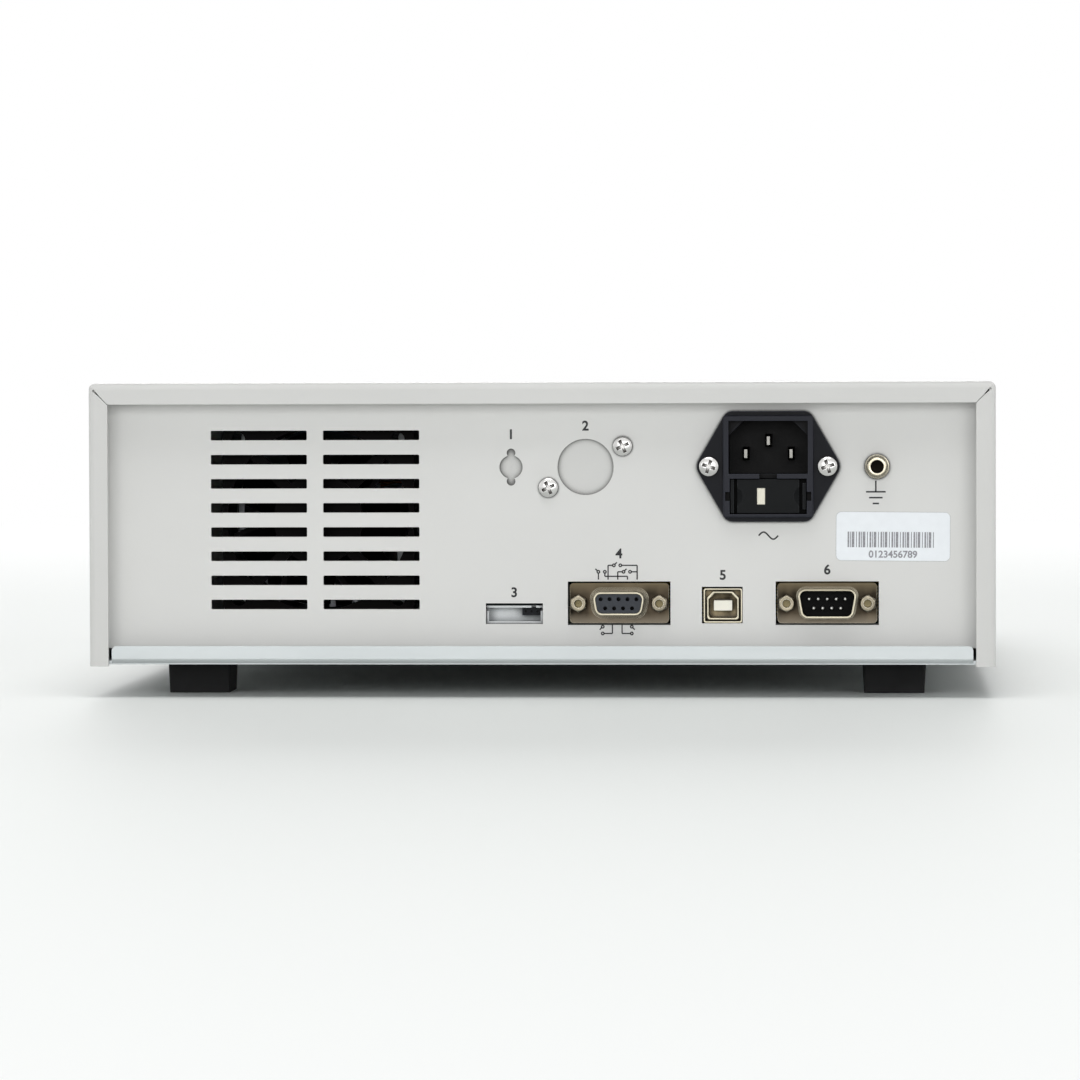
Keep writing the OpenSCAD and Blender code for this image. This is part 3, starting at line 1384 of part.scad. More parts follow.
module terminal_contacts() color("#c8a85a") for (u = [rtn_u, hv_u]) at_front(u, terminal_v) difference() {
    mouth = terminal_proud - contact_inset;
    back = -plate_t - neck_len;
    union() {
        translate([0, 0, back - eps]) cylinder(r = contact_r, h = mouth - back + eps);
        translate([0, 0, back - contact_head_t]) cylinder(r = contact_head_r, h = contact_head_t);
        translate([0, 0, back - contact_head_t - contact_tail])
            cylinder(r = contact_tail_r, h = contact_tail + eps);
    }
    translate([0, 0, mouth - contact_bore_d]) cylinder(r = contact_bore_r, h = contact_bore_d + 1);
}

module terminal_nuts() color(black) for (u = [rtn_u, hv_u]) at_front(u, terminal_v) difference() {
    hex_bar(nut_flats, -plate_t - nut_t, -plate_t);
    translate([0, 0, -plate_t - nut_t - 1]) cylinder(r = neck_r + contact_play, h = nut_t + 2);
}

module danger_lamp() color("#d8342f") at_front(lamp_u, lamp_v) {
    translate([0, 0, -lamp_len]) cylinder(r = lamp_r, h = lamp_len + lamp_flange_t);
    cylinder(r = lamp_flange_r, h = lamp_flange_t);
    translate([0, 0, lamp_flange_t]) intersection() {
        sphere(lamp_r);
        cylinder(r = lamp_r, h = lamp_r);
    }
}

top_cover();
bottom_chassis();
rear_panel();
front_bezel();
front_plate();
feet();
case_screws();
blank_plate();
panel_screws();
inlet_body();
inlet_pins();
fuse_drawer();
voltage_tab();
fuses();
ground_terminal();
ground_nut();
handler_shell();
handler_insert();
serial_shell();
serial_insert();
serial_pins();
jackscrews();
usb_shell();
usb_tongue();
signal_shroud();
signal_block();
interface_board();
fan_frame();
fan_rotor();
fan_bracket();
hv_core();
hv_coil();
mains_toroid();
toroid_clamp();
heat_sink();
main_board();
board_standoffs();
lcd_module();
display_window();
key_board();
panel_switches();
power_button();
start_button();
stop_button();
soft_key(1);  // soft_key_1
soft_key(2);  // soft_key_2
soft_key(3);  // soft_key_3
soft_key(4);  // soft_key_4
menu_key(1);  // menu_key_1
menu_key(2);  // menu_key_2
arrow_key(0);  // arrow_key_up
arrow_key(1);  // arrow_key_down
arrow_key(2);  // arrow_key_left
arrow_key(3);  // arrow_key_right
enter_key();
hv_terminal();
rtn_terminal();
terminal_contacts();
terminal_nuts();
danger_lamp();
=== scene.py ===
"""Looks of the bench hipot tester: finishes, softened edges, printed marks, studio and camera."""

import math

import bmesh
import bpy
from mathutils import Matrix, Vector


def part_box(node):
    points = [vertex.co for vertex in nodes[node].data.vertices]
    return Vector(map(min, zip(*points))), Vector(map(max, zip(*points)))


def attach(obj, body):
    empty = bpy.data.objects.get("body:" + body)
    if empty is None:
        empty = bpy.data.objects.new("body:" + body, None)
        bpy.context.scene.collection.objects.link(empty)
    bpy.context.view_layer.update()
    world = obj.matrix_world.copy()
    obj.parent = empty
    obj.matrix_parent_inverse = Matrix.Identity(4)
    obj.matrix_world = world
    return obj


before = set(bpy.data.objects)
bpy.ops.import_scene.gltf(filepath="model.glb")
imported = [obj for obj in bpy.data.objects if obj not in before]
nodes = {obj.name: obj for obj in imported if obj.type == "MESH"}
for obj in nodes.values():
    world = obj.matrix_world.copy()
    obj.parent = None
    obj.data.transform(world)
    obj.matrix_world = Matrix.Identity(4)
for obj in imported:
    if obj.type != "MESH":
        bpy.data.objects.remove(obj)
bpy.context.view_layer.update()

MM = 0.001
IMAGE_PX = 1080

# Camera: metres from the rear face, to the right of the middle as seen from behind, above the table
CAMERA_BACK = 1.6
CAMERA_RIGHT = 0.0996
CAMERA_HEIGHT = 0.0985
CAMERA_YAW = math.radians(-3.56)
CAMERA_PITCH = math.radians(1.78)
CAMERA_ROLL = math.radians(-0.17)
FOCAL_PX = 5208
SENSOR_MM = 36

# Studio
FLOOR_RGB = (227, 230, 228)
FLOOR_RADIUS = 6.0
FLOOR_DROP = 0.0001
FLOOR_FADE = (0.5, 1.8)
WORLD_LEVEL = 0.2

# Printing
INK_HEIGHT = 0.04 * MM
INK_LINE = 0.45 * MM
FINE_LINE = 0.36 * MM
NUMERAL_BOLD = 0.035
NUMERAL_SHARE = 0.7
NUMERAL_HEIGHT = 2.9 * MM
NUMERAL_RISE = 4 * MM
DIAGRAM_RISE = 9 * MM
RTN_HOLE_RIGHT = -9.4 * MM
RTN_HOLE_RISE = 10 * MM
HV_HOLE_RIGHT = 13.7 * MM
HV_HOLE_RISE = 12.6 * MM
SYMBOL_DROP = 4.4 * MM
EARTH_SHIFT = 0.4 * MM
WAVE_LENGTH = 6 * MM
WAVE_SWING = 1.1 * MM
LABEL_RIGHT = 108.6 * MM
LABEL_UP = 39.2 * MM
LABEL_SIZE = (35 * MM, 15 * MM)
LABEL_CORNER = 1.6 * MM
LABEL_THICK = 0.12 * MM
LABEL_TILT = math.radians(-0.5)
BAR_UNIT = 0.26 * MM
BAR_SPAN = 25 * MM
BAR_START = -14 * MM
BAR_STEPS = ((2, 1), (1, 1), (3, 2), (1, 2))
BAR_LOW = -3.4 * MM
BAR_HIGH = 1.4 * MM
DIGITS_UP = -5.6 * MM
DIGITS_HEIGHT = 2.1 * MM
KEY_NUMERAL_HEIGHT = 2.8 * MM
ARROW_RADIUS = 1.8 * MM
START_RADIUS = 2.6 * MM
STOP_HALF = 1.9 * MM


# Colours

def linear(level):
    """One sRGB level from 0 to 255 as linear light."""
    level /= 255
    return level / 12.92 if level <= 0.04045 else ((level + 0.055) / 1.055) ** 2.4


def colour(red, green, blue):
    """An sRGB colour as a linear RGBA value."""
    return (linear(red), linear(green), linear(blue), 1.0)


def shade(rgb, factor):
    """An sRGB triple made lighter or darker."""
    return tuple(min(255, level * factor) for level in rgb)


# Materials

class Finish:
    """A procedural material in metres: one principled shader with noise in its colour, gloss and relief."""

    def __init__(self, name, rgb, roughness, metallic=0.0):
        self.material = bpy.data.materials.new(name)
        self.material.use_nodes = True
        self.tree = self.material.node_tree
        self.shader = self.tree.nodes["Principled BSDF"]
        self.rgb = rgb
        self.roughness = roughness
        self.set("Base Color", colour(*rgb))
        self.set("Roughness", roughness)
        self.set("Metallic", metallic)
        self.set("Specular IOR Level", 0.3)
        self.place = self.tree.nodes.new("ShaderNodeTexCoord").outputs["Object"]
        self.relief = None

    def set(self, socket, value):
        """A value that is the same all over the surface."""
        self.shader.inputs[socket].default_value = value
        return self

    def node(self, kind, **values):
        """A new node whose named inputs are set."""
        made = self.tree.nodes.new(kind)
        for socket, value in values.items():
            made.inputs[socket.replace("_", " ").title()].default_value = value
        return made

    def stretched(self, stretch):
        """The place on the surface, scaled along each axis."""
        mapping = self.node("ShaderNodeMapping", scale=stretch)
        self.tree.links.new(self.place, mapping.inputs["Vector"])
        return mapping.outputs["Vector"]

    def noise(self, size, detail=2.0, stretch=(1, 1, 1)):
        """Noise whose blobs are about size millimetres across."""
        texture = self.node("ShaderNodeTexNoise", scale=1 / (size * MM), detail=detail)
        self.tree.links.new(self.stretched(stretch), texture.inputs["Vector"])
        return texture.outputs["Fac"]

    def waves(self, size, axis="X", distort=0.0):
        """Parallel bands that repeat every size millimetres."""
        texture = self.node("ShaderNodeTexWave", scale=math.tau / 20 / (size * MM), distortion=distort)
        texture.bands_direction = axis
        self.tree.links.new(self.place, texture.inputs["Vector"])
        return texture.outputs["Fac"]

    def ramp(self, pattern, low, high, start=0.3, end=0.7):
        """A pattern turned into a smooth step between two colours."""
        made = self.tree.nodes.new("ShaderNodeValToRGB")
        made.color_ramp.elements[0].position = start
        made.color_ramp.elements[1].position = end
        made.color_ramp.elements[0].color = low
        made.color_ramp.elements[1].color = high
        self.tree.links.new(pattern, made.inputs["Fac"])
        return made.outputs["Color"]

    def mottle(self, size, spread, stretch=(1, 1, 1), detail=3.0):
        """Colour that drifts lighter and darker by a share."""
        low = colour(*shade(self.rgb, 1 - spread))
        high = colour(*shade(self.rgb, 1 + spread))
        tint = self.ramp(self.noise(size, detail, stretch), low, high)
        self.tree.links.new(tint, self.shader.inputs["Base Color"])
        return self

    def bands(self, size, other, axis="X", distort=0.0, start=0.4, end=0.6):
        """Bands of a second colour."""
        tint = self.ramp(self.waves(size, axis, distort), colour(*self.rgb), colour(*other), start, end)
        self.tree.links.new(tint, self.shader.inputs["Base Color"])
        return self

    def over(self, mask, rgb):
        """A second colour laid over the first where a mask is 1."""
        mix = self.tree.nodes.new("ShaderNodeMix")
        mix.data_type = "RGBA"
        under, over = mix.inputs[6], mix.inputs[7]
        base = self.shader.inputs["Base Color"]
        under.default_value = base.default_value
        if base.is_linked:
            self.tree.links.new(base.links[0].from_socket, under)
        over.default_value = colour(*rgb)
        self.tree.links.new(mask, mix.inputs[0])
        self.tree.links.new(mix.outputs[2], base)
        return self

    def span(self, value, start, end, low=0.0, high=1.0):
        """A value brought from one range into another, and kept inside it."""
        made = self.node("ShaderNodeMapRange")
        for socket, level in zip(("From Min", "From Max", "To Min", "To Max"), (start, end, low, high)):
            made.inputs[socket].default_value = level
        self.tree.links.new(value, made.inputs["Value"])
        return made.outputs["Result"]

    def hollows(self, reach, rgb, start=0.85, end=0.3):
        """Painted shade in recesses within a reach in millimetres: the colour darkens where ambient
        occlusion finds surfaces near.
        """
        near = self.node("ShaderNodeAmbientOcclusion", distance=reach * MM)
        near.samples = 8
        return self.over(self.span(near.outputs["AO"], start, end), rgb)

    def along(self, axis, start, end, rgb):
        """A second colour that comes in along an axis, from one place to another."""
        split = self.tree.nodes.new("ShaderNodeSeparateXYZ")
        self.tree.links.new(self.place, split.inputs[0])
        return self.over(self.span(split.outputs[axis], start, end), rgb)

    def bright_edges(self, radius, rgb, start=0.995, end=0.9):
        """Painted highlight on edges within a radius in millimetres, where their rounding would catch the
        light.
        """
        rounded = self.node("ShaderNodeBevel", radius=radius * MM)
        rounded.samples = 6
        facing = self.tree.nodes.new("ShaderNodeVectorMath")
        facing.operation = "DOT_PRODUCT"
        self.tree.links.new(rounded.outputs["Normal"], facing.inputs[0])
        self.tree.links.new(self.tree.nodes.new("ShaderNodeNewGeometry").outputs["Normal"], facing.inputs[1])
        return self.over(self.span(facing.outputs["Value"], start, end), rgb)

    def patchy_gloss(self, size, spread, stretch=(1, 1, 1)):
        """Roughness that drifts by an amount either way."""
        low = max(0.02, self.roughness - spread)
        gloss = self.span(self.noise(size, 3.0, stretch), 0, 1, low, self.roughness + spread)
        self.tree.links.new(gloss, self.shader.inputs["Roughness"])
        return self

    def grain(self, size, depth, stretch=(1, 1, 1), pattern=None):
        """Relief of a depth in millimetres."""
        bump = self.node("ShaderNodeBump", strength=1.0, distance=depth * MM)
        height = pattern if pattern is not None else self.noise(size, 2.0, stretch)
        self.tree.links.new(height, bump.inputs["Height"])
        if self.relief is not None:
            self.tree.links.new(self.relief, bump.inputs["Normal"])
        self.relief = bump.outputs["Normal"]
        self.tree.links.new(self.relief, self.shader.inputs["Normal"])
        return self


def rear_of(name):
    """How far a node reaches to the rear."""
    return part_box(name)[1].y


def powder_coat(name, rgb):
    """Light grey powder coat with a fine orange-peel surface."""
    finish = Finish(name, rgb, 0.48).mottle(60, 0.006).patchy_gloss(8, 0.05)
    return finish.grain(0.9, 0.012).grain(0.25, 0.004)


def zinc_plate(name, rgb):
    """Bright zinc on rolled steel, with faint rolling streaks."""
    finish = Finish(name, rgb, 0.36, metallic=0.45).mottle(14, 0.03, stretch=(0.15, 1, 1))
    return finish.patchy_gloss(5, 0.07, stretch=(0.1, 1, 1)).grain(0.4, 0.003, stretch=(0.05, 1, 1))


def bright_metal(name, rgb, roughness):
    """Plated metal with small smudges and fine scratches."""
    finish = Finish(name, rgb, roughness, metallic=1.0).mottle(3, 0.05)
    return finish.patchy_gloss(1.5, 0.06).grain(0.3, 0.0025, stretch=(1, 1, 0.2))


def plated(name, rgb, roughness, shade_rgb, edge_highlight_rgb, edge=0.3, reach=1.6, smudge_and_reflection=0.05):
    """Plated metal with painted shade in its recesses and a painted highlight on its edges."""
    # Blotches: small ones are smudges, large ones are painted reflection of the surroundings.
    finish = bright_metal(name, rgb, roughness).mottle(7, smudge_and_reflection, detail=4.0)
    # Painted edge highlight, then painted shade in the recesses.
    return finish.bright_edges(edge, edge_highlight_rgb, 0.998, 0.93).hollows(reach, shade_rgb, 0.92, 0.4)


def port_shell(name, node, rgb, depth):
    """Nickel of a port's shell in large blotches of painted reflection, with painted light at its foot,
    painted highlights on its edges and near its mouth to a depth in mm, and painted shade in its recesses.
    """
    low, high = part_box(node)
    # Large blotches of painted reflection.
    finish = bright_metal(name, rgb, 0.3).mottle(6, 0.8, stretch=(1, 1, 0.4), detail=2.0)
    # Painted light toward the foot.
    finish.along("Z", low.z + 0.25 * (high.z - low.z), low.z, (96, 89, 78))
    # Painted edge highlights and painted shade in the recesses.
    finish.bright_edges(0.3, (156, 150, 134), 0.9995, 0.95).hollows(1.6, (16, 13, 9))
    # Painted highlight near the mouth.
    return finish.along("Y", high.y - depth * MM, high.y, (166, 160, 142))


def d_shell(name, node):
    """Shell of a D connector, with an even painted tone of light and shade toward its upper edge."""
    low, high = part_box(node)
    upper_band_from = low.z + 0.74 * (high.z - low.z)
    # An even painted tone of light and shade over the upper part of the shell.
    return port_shell(name, node, (44, 39, 32), 1.2).along("Z", upper_band_from, high.z, (80, 72, 57))


def blade_metal(name, rgb, tip_highlight_rgb):
    """Contact blades, dark along their sides as painted shade of the socket, with a painted highlight at
    their tips.
    """
    tip = rear_of("inlet_pins")
    # Painted highlight at the very tips.
    return bright_metal(name, rgb, 0.35).along("Y", tip - 0.05 * MM, tip - 0.02 * MM, tip_highlight_rgb)


def moulded(name, rgb, roughness, grain_size=0.35, grain_depth=0.006, spread=0.03):
    """Moulded plastic with a fine spark-eroded grain."""
    finish = Finish(name, rgb, roughness).mottle(9, spread).patchy_gloss(2.5, 0.06)
    return finish.grain(grain_size, grain_depth)


def black_moulding(name, rgb, gloss=0.08):
    """Black plastic with painted highlights on its edges and painted shade in deep openings."""
    # Painted edge highlight, twice as light as the plastic.
    finish = moulded(name, rgb, 0.42).bright_edges(0.3, shade(rgb, 2))
    # Painted shade in deep openings.
    return finish.hollows(7, shade(rgb, 0.12), 0.75, 0.3).set("Specular IOR Level", gloss)


def inlet_moulding(name, rgb, rim_highlight_rgb):
    """Black plastic with painted sheen on its raised rim, painted highlights on its edges, and painted shade
    in its socket that deepens with depth.
    """
    face = rear_of("inlet_body")
    # Painted sheen on the raised rim.
    finish = moulded(name, rgb, 0.42).along("Y", face - 0.9 * MM, face - 0.2 * MM, rim_highlight_rgb)
    # Painted edge highlights and painted shade in the recesses.
    finish.bright_edges(0.3, shade(rim_highlight_rgb, 1.4)).hollows(7, shade(rgb, 0.1), 0.8, 0.4)
    # Painted shade that grows deeper into the socket.
    finish.along("Y", face - 4 * MM, face - 10 * MM, shade(rgb, 0.15))
    return finish.set("Specular IOR Level", 0.08)


def recessed_paint(name, rgb, shade_rgb):
    """Powder coat that lies in shade behind the holes of the panel."""
    return powder_coat(name, rgb).hollows(4, shade_rgb, 0.85, 0.35)


def panel_coat(name, rgb):
    """Powder coat of the panel, with painted shade in the corner where the cover's flange meets it."""
    return powder_coat(name, rgb).hollows(1.1, shade(rgb, 0.2), 0.85, 0.5)


def shaded_moulding(name, rgb, shade_rgb):
    """Light plastic of an open housing, with painted shade toward its corners."""
    return moulded(name, rgb, 0.38).hollows(3, shade_rgb, 0.9, 0.35)


def rubber(name, rgb):
    """Matt rubber with a dusty bloom."""
    return Finish(name, rgb, 0.78).mottle(6, 0.18).patchy_gloss(3, 0.1).grain(0.6, 0.02)


def circuit_board(name, rgb):
    """Solder mask over faint copper runs, with painted shade among the parts on it."""
    runs = shade(rgb, 1.35)
    finish = Finish(name, rgb, 0.32).bands(2.2, runs, "X", distort=3.0, start=0.55, end=0.65)
    return finish.grain(0.5, 0.004).hollows(12, (4, 8, 6))


def laminations(name, rgb):
    """Varnished core plates, one dark joint after another."""
    finish = Finish(name, rgb, 0.5, metallic=0.6).bands(0.9, shade(rgb, 0.6), "Y", start=0.7, end=0.9)
    return finish.grain(0.9, 0.03, pattern=finish.waves(0.9, "Y"))


def winding(name, rgb, axis):
    """Enamelled turns side by side."""
    finish = Finish(name, rgb, 0.35, metallic=0.5).bands(1.1, shade(rgb, 0.6), axis, distort=0.4)
    return finish.grain(1.1, 0.12, pattern=finish.waves(1.1, axis, 0.4))


def clear_plastic(name, rgb, roughness, transmission):
    """Glass or clear plastic with faint streaks."""
    finish = Finish(name, rgb, roughness).patchy_gloss(6, 0.02).grain(4, 0.002)
    return finish.set("Transmission Weight", transmission).set("IOR", 1.5)


def paper(name, rgb):
    """Coated label stock."""
    return Finish(name, rgb, 0.42).mottle(3, 0.008).patchy_gloss(1.2, 0.05).grain(0.15, 0.002)


def ink(name, rgb):
    """Screen-printed ink."""
    return Finish(name, rgb, 0.5).mottle(0.6, 0.12).patchy_gloss(0.8, 0.08).grain(0.12, 0.002)


finishes = {
    "cover_paint": powder_coat("cover_paint_finish", (204, 204, 202)),
    # The panel coat carries painted shade under the cover's flange; the blank plate's second colour is
    # painted shade behind the holes.
    "panel_paint": panel_coat("panel_paint_finish", (213, 213, 211)),
    "blank_paint": recessed_paint("blank_paint_finish", (207, 207, 205), (98, 98, 96)),
    "zinc_plate": zinc_plate("zinc_finish", (180, 185, 186)),
    "bezel_plastic": moulded("bezel_finish", (196, 198, 198), 0.5, 0.5, 0.01, 0.006),
    "front_overlay": moulded("overlay_finish", (63, 74, 87), 0.42, 0.3, 0.004),
    "foot_rubber": rubber("foot_finish", (20, 20, 21)),
    # plated(name, base, roughness, painted shade in recesses, painted edge highlight, highlight radius,
    # shade reach, smudges and painted reflection)
    "screw_steel": plated("screw_finish", (212, 211, 209), 0.24, (44, 42, 40), (232, 232, 231)),
    # Black mouldings carry painted edge highlights and painted shade; the inlet's second colour is painted
    # sheen on its rim.
    "black_plastic": black_moulding("black_finish", (30, 31, 35)),
    "inlet_plastic": inlet_moulding("inlet_finish", (21, 22, 26), (42, 43, 49)),
    "drawer_plastic": black_moulding("drawer_finish", (28, 29, 30), 0.03),
    "fan_plastic": black_moulding("fan_finish", (11, 9, 9), 0.03),
    # Painted shade in the insert's pin holes.
    "insert_plastic": moulded("insert_finish", (37, 41, 48), 0.5).hollows(1.0, (8, 8, 10)),
    "plug_plastic": black_moulding("plug_finish", (13, 12, 12), 0.05),
    "nickel": plated("nickel_finish", (150, 143, 126), 0.3, (30, 26, 20), (226, 221, 204)),
    # Port shells carry painted reflections, painted light, painted highlights and painted shade.
    "handler_nickel": d_shell("handler_finish", "handler_shell"),
    "serial_nickel": d_shell("serial_finish", "serial_shell"),
    "usb_nickel": port_shell("usb_finish", "usb_shell", (78, 71, 57), 0.3),
    "ground_nickel": plated(
        "ground_finish", (156, 150, 134), 0.24, (14, 12, 9), (184, 181, 171), 0.3, 5, 0.3),
    "jack_nickel": plated("jack_finish", (120, 113, 98), 0.26, (98, 90, 68), (184, 180, 168), 0.4, 4, 0.18),
    # Dark blade colour as painted shade of the socket, second colour as painted highlight at the tips.
    "blade_metal": blade_metal("blade_finish", (40, 38, 35), (120, 119, 115)),
    "tin": plated("tin_finish", (176, 176, 172), 0.3, (30, 28, 25), (206, 206, 202), 0.15),
    # Second colour: painted shade toward the shroud's corners.
    "shroud_plastic": shaded_moulding("shroud_finish", (226, 229, 230), (146, 149, 151)),
    "tongue_plastic": moulded("tongue_finish", (242, 239, 226), 0.4, spread=0.02),
    "cream_plastic": moulded("cream_finish", (226, 222, 206), 0.45),
    "fuse_glass": clear_plastic("fuse_glass_finish", (226, 230, 230), 0.06, 0.85),
    "circuit_board": circuit_board("board_finish", (38, 96, 62)),
    "core_steel": laminations("core_finish", (88, 90, 94)),
    "copper_winding": winding("coil_finish", (180, 116, 68), "Z"),
    "toroid_tape": winding("toroid_finish", (198, 160, 66), "Z"),
    "clamp_steel": bright_metal("clamp_finish", (196, 197, 200), 0.34),
    "sink_aluminium": bright_metal("sink_finish", (190, 192, 196), 0.42),
    "display_metal": bright_metal("lcd_frame_finish", (150, 154, 158), 0.4),
    "display_glass": clear_plastic("display_finish", (22, 25, 30), 0.08, 0.0),
    "key_plastic": moulded("key_finish", (216, 218, 219), 0.46, 0.25, 0.005, 0.01),
    "enter_plastic": moulded("enter_finish", (142, 163, 186), 0.46, 0.25, 0.005, 0.015),
    "power_plastic": moulded("power_finish", (72, 76, 82), 0.46),
    "start_plastic": moulded("start_finish", (44, 148, 76), 0.34, 0.3, 0.003),
    "stop_plastic": moulded("stop_finish", (190, 46, 42), 0.34, 0.3, 0.003),
    "red_insulator": moulded("hv_finish", (170, 32, 32), 0.3, 0.3, 0.003),
    "black_insulator": moulded("rtn_finish", (34, 35, 38), 0.3, 0.3, 0.003),
    "contact_brass": bright_metal("contact_finish", (205, 176, 108), 0.25),
    "lamp_lens": clear_plastic("lamp_finish", (205, 44, 38), 0.12, 0.35),
    "label_paper": paper("label_finish", (233, 237, 241)),
    "label_bars": ink("bars_finish", (142, 142, 147)),
    "black_ink": ink("black_ink_finish", (34, 34, 36)),
    "white_ink": ink("white_ink_finish", (222, 224, 226)),
}
NODE_FINISH = {
    "rear_panel": "panel_paint",
    "blank_plate": "blank_paint",
    "inlet_body": "inlet_plastic",
    "inlet_pins": "blade_metal",
    "fuse_drawer": "drawer_plastic",
    "handler_shell": "handler_nickel",
    "serial_shell": "serial_nickel",
    "serial_insert": "plug_plastic",
    "serial_pins": "tin",
    "usb_shell": "usb_nickel",
    "usb_tongue": "tongue_plastic",
    "signal_shroud": "shroud_plastic",
    "ground_terminal": "ground_nickel",
    "jackscrews": "jack_nickel",
    "fan_frame": "fan_plastic",
    "fan_rotor": "fan_plastic",
    "mains_toroid": "toroid_tape",
}


def dress_nodes():
    """Each carried-over node takes the finish of its slot, or its own."""
    for name, node in nodes.items():
        slot_name = node.material_slots[0].material.name.split(".")[0]
        node.material_slots[0].material = finishes[NODE_FINISH.get(name, slot_name)].material


# Softened edges, their widths in millimetres

EDGE_WIDTH = {
    "top_cover": 0.25, "bottom_chassis": 0.25, "rear_panel": 0.2, "front_bezel": 0.5, "front_plate": 0.2,
    "inlet_body": 0.22, "fuse_drawer": 0.18, "voltage_tab": 0.15, "blank_plate": 0.15, "feet": 0.3,
    "handler_shell": 0.15, "serial_shell": 0.15, "usb_shell": 0.12, "usb_tongue": 0.12,
    "signal_shroud": 0.12, "signal_block": 0.12, "handler_insert": 0.1, "serial_insert": 0.1,
    "jackscrews": 0.15, "ground_terminal": 0.15, "panel_screws": 0.12, "case_screws": 0.12,
    "power_button": 0.3, "start_button": 0.3, "stop_button": 0.3, "display_window": 0.2,
    "hv_terminal": 0.2, "rtn_terminal": 0.2, "terminal_contacts": 0.12, "danger_lamp": 0.2,
}
WELD_DISTANCE = 1e-7
FLAT_ANGLE = math.radians(0.2)
SHARP_ANGLE = math.radians(35)


def soften(name, width):
    """Small rounded edges on a node, as modifiers."""
    node = nodes[name]
    weld = node.modifiers.new("weld", "WELD")
    weld.merge_threshold = WELD_DISTANCE
    flat = node.modifiers.new("flat_faces", "DECIMATE")
    flat.decimate_type = "DISSOLVE"
    flat.angle_limit = FLAT_ANGLE
    bevel = node.modifiers.new("soft_edges", "BEVEL")
    bevel.width = width * MM
    bevel.segments = 2
    bevel.limit_method = "ANGLE"
    bevel.angle_limit = SHARP_ANGLE
    normals = node.modifiers.new("even_normals", "WEIGHTED_NORMAL")
    normals.weight = 100


# Places on the rear panel and on the front, in metres to the right and up

FLOOR_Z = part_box("bottom_chassis")[0].z
PANEL_Y = rear_of("rear_panel")


def rear_frame(right, up, turn=0.0):
    """A frame on the rear panel: x to the right as seen from behind, y up, z outwards."""
    axes = Matrix(((-1, 0, 0), (0, 0, 1), (0, 1, 0))).to_4x4()
    return Matrix.Translation((-right, PANEL_Y, up)) @ axes @ Matrix.Rotation(turn, 4, "Z")


def front_frame(right, up, y):
    """A frame on the front: x to the right as seen from the front, y up, z outwards."""
    axes = Matrix(((1, 0, 0), (0, 0, -1), (0, 1, 0))).to_4x4()
    return Matrix.Translation((right, y, up)) @ axes


def middle(name):
    """The middle of a node's box."""
    low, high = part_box(name)
    return (low + high) / 2


# Flat printed shapes

class Print:
    """Thin printed shapes on one surface, gathered into one mesh."""

    def __init__(self):
        self.mesh = bmesh.new()

    def prism(self, outline, height=INK_HEIGHT):
        """A flat shape with an outline that runs anticlockwise."""
        low = [self.mesh.verts.new((x, y, 0)) for x, y in outline]
        high = [self.mesh.verts.new((x, y, height)) for x, y in outline]
        self.mesh.faces.new(high)
        self.mesh.faces.new(low[::-1])
        for i in range(len(outline)):
            j = (i + 1) % len(outline)
            self.mesh.faces.new((low[i], low[j], high[j], high[i]))

    def bar(self, x0, y0, x1, y1):
        """A filled rectangle."""
        self.prism([(x0, y0), (x1, y0), (x1, y1), (x0, y1)])

    def line(self, start, end, width=INK_LINE):
        """A straight stroke with square ends."""
        along = Vector(end) - Vector(start)
        side = Vector((-along.y, along.x)).normalized() * width / 2
        a, b = Vector(start), Vector(end)
        self.prism([tuple(p) for p in (a - side, b - side, b + side, a + side)])

    def path(self, points, width=INK_LINE):
        """Straight strokes from point to point."""
        for start, end in zip(points, points[1:]):
            self.line(start, end, width)

    def ring(self, x, y, radius, width=INK_LINE, steps=28):
        """A circular stroke."""
        rims = []
        for level in (0, INK_HEIGHT):
            for r in (radius - width / 2, radius + width / 2):
                rims.append([self.mesh.verts.new((x + r * math.cos(math.tau * i / steps),
                                                  y + r * math.sin(math.tau * i / steps), level))
                             for i in range(steps)])
        low_in, low_out, high_in, high_out = rims
        for i in range(steps):
            j = (i + 1) % steps
            self.mesh.faces.new((high_in[i], high_out[i], high_out[j], high_in[j]))
            self.mesh.faces.new((low_in[j], low_out[j], low_out[i], low_in[i]))
            self.mesh.faces.new((low_out[i], low_out[j], high_out[j], high_out[i]))
            self.mesh.faces.new((high_in[i], high_in[j], low_in[j], low_in[i]))

    def wave(self, x, y, length, swing, width=INK_LINE, steps=24):
        """One period of a sine stroke."""
        rows = []
        for i in range(steps + 1):
            t = i / steps
            slope = swing * math.tau / length * math.cos(math.tau * t)
            side = Vector((-slope, 1)).normalized() * width / 2
            at = Vector((x + (t - 0.5) * length, y + swing * math.sin(math.tau * t)))
            rows.append((at - side, at + side))
        self.prism([tuple(row[0]) for row in rows] + [tuple(row[1]) for row in reversed(rows)])

    def finish(self, name, matrix, finish, body):
        """The gathered shapes as one piece that rides on a body."""
        data = bpy.data.meshes.new(name)
        self.mesh.to_mesh(data)
        self.mesh.free()
        return add_piece(name, data, matrix, finish, body)


def add_piece(name, data, matrix, finish, body):
    """A new piece in place, dressed, riding on a body."""
    piece = bpy.data.objects.new(name, data)
    bpy.context.scene.collection.objects.link(piece)
    piece.matrix_world = matrix
    data.materials.append(finishes[finish].material)
    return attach(piece, body)


def add_numeral(name, digits, matrix, height, finish, body):
    """A plain printed number, as a thin solid."""
    data = bpy.data.curves.new(name, "FONT")
    data.body = digits
    data.size = height / NUMERAL_SHARE
    data.align_x = "CENTER"
    data.align_y = "CENTER"
    data.extrude = INK_HEIGHT / 2
    data.offset = height * NUMERAL_BOLD
    return add_piece(name, data, matrix @ Matrix.Translation((0, 0, INK_HEIGHT / 2)), finish, body)


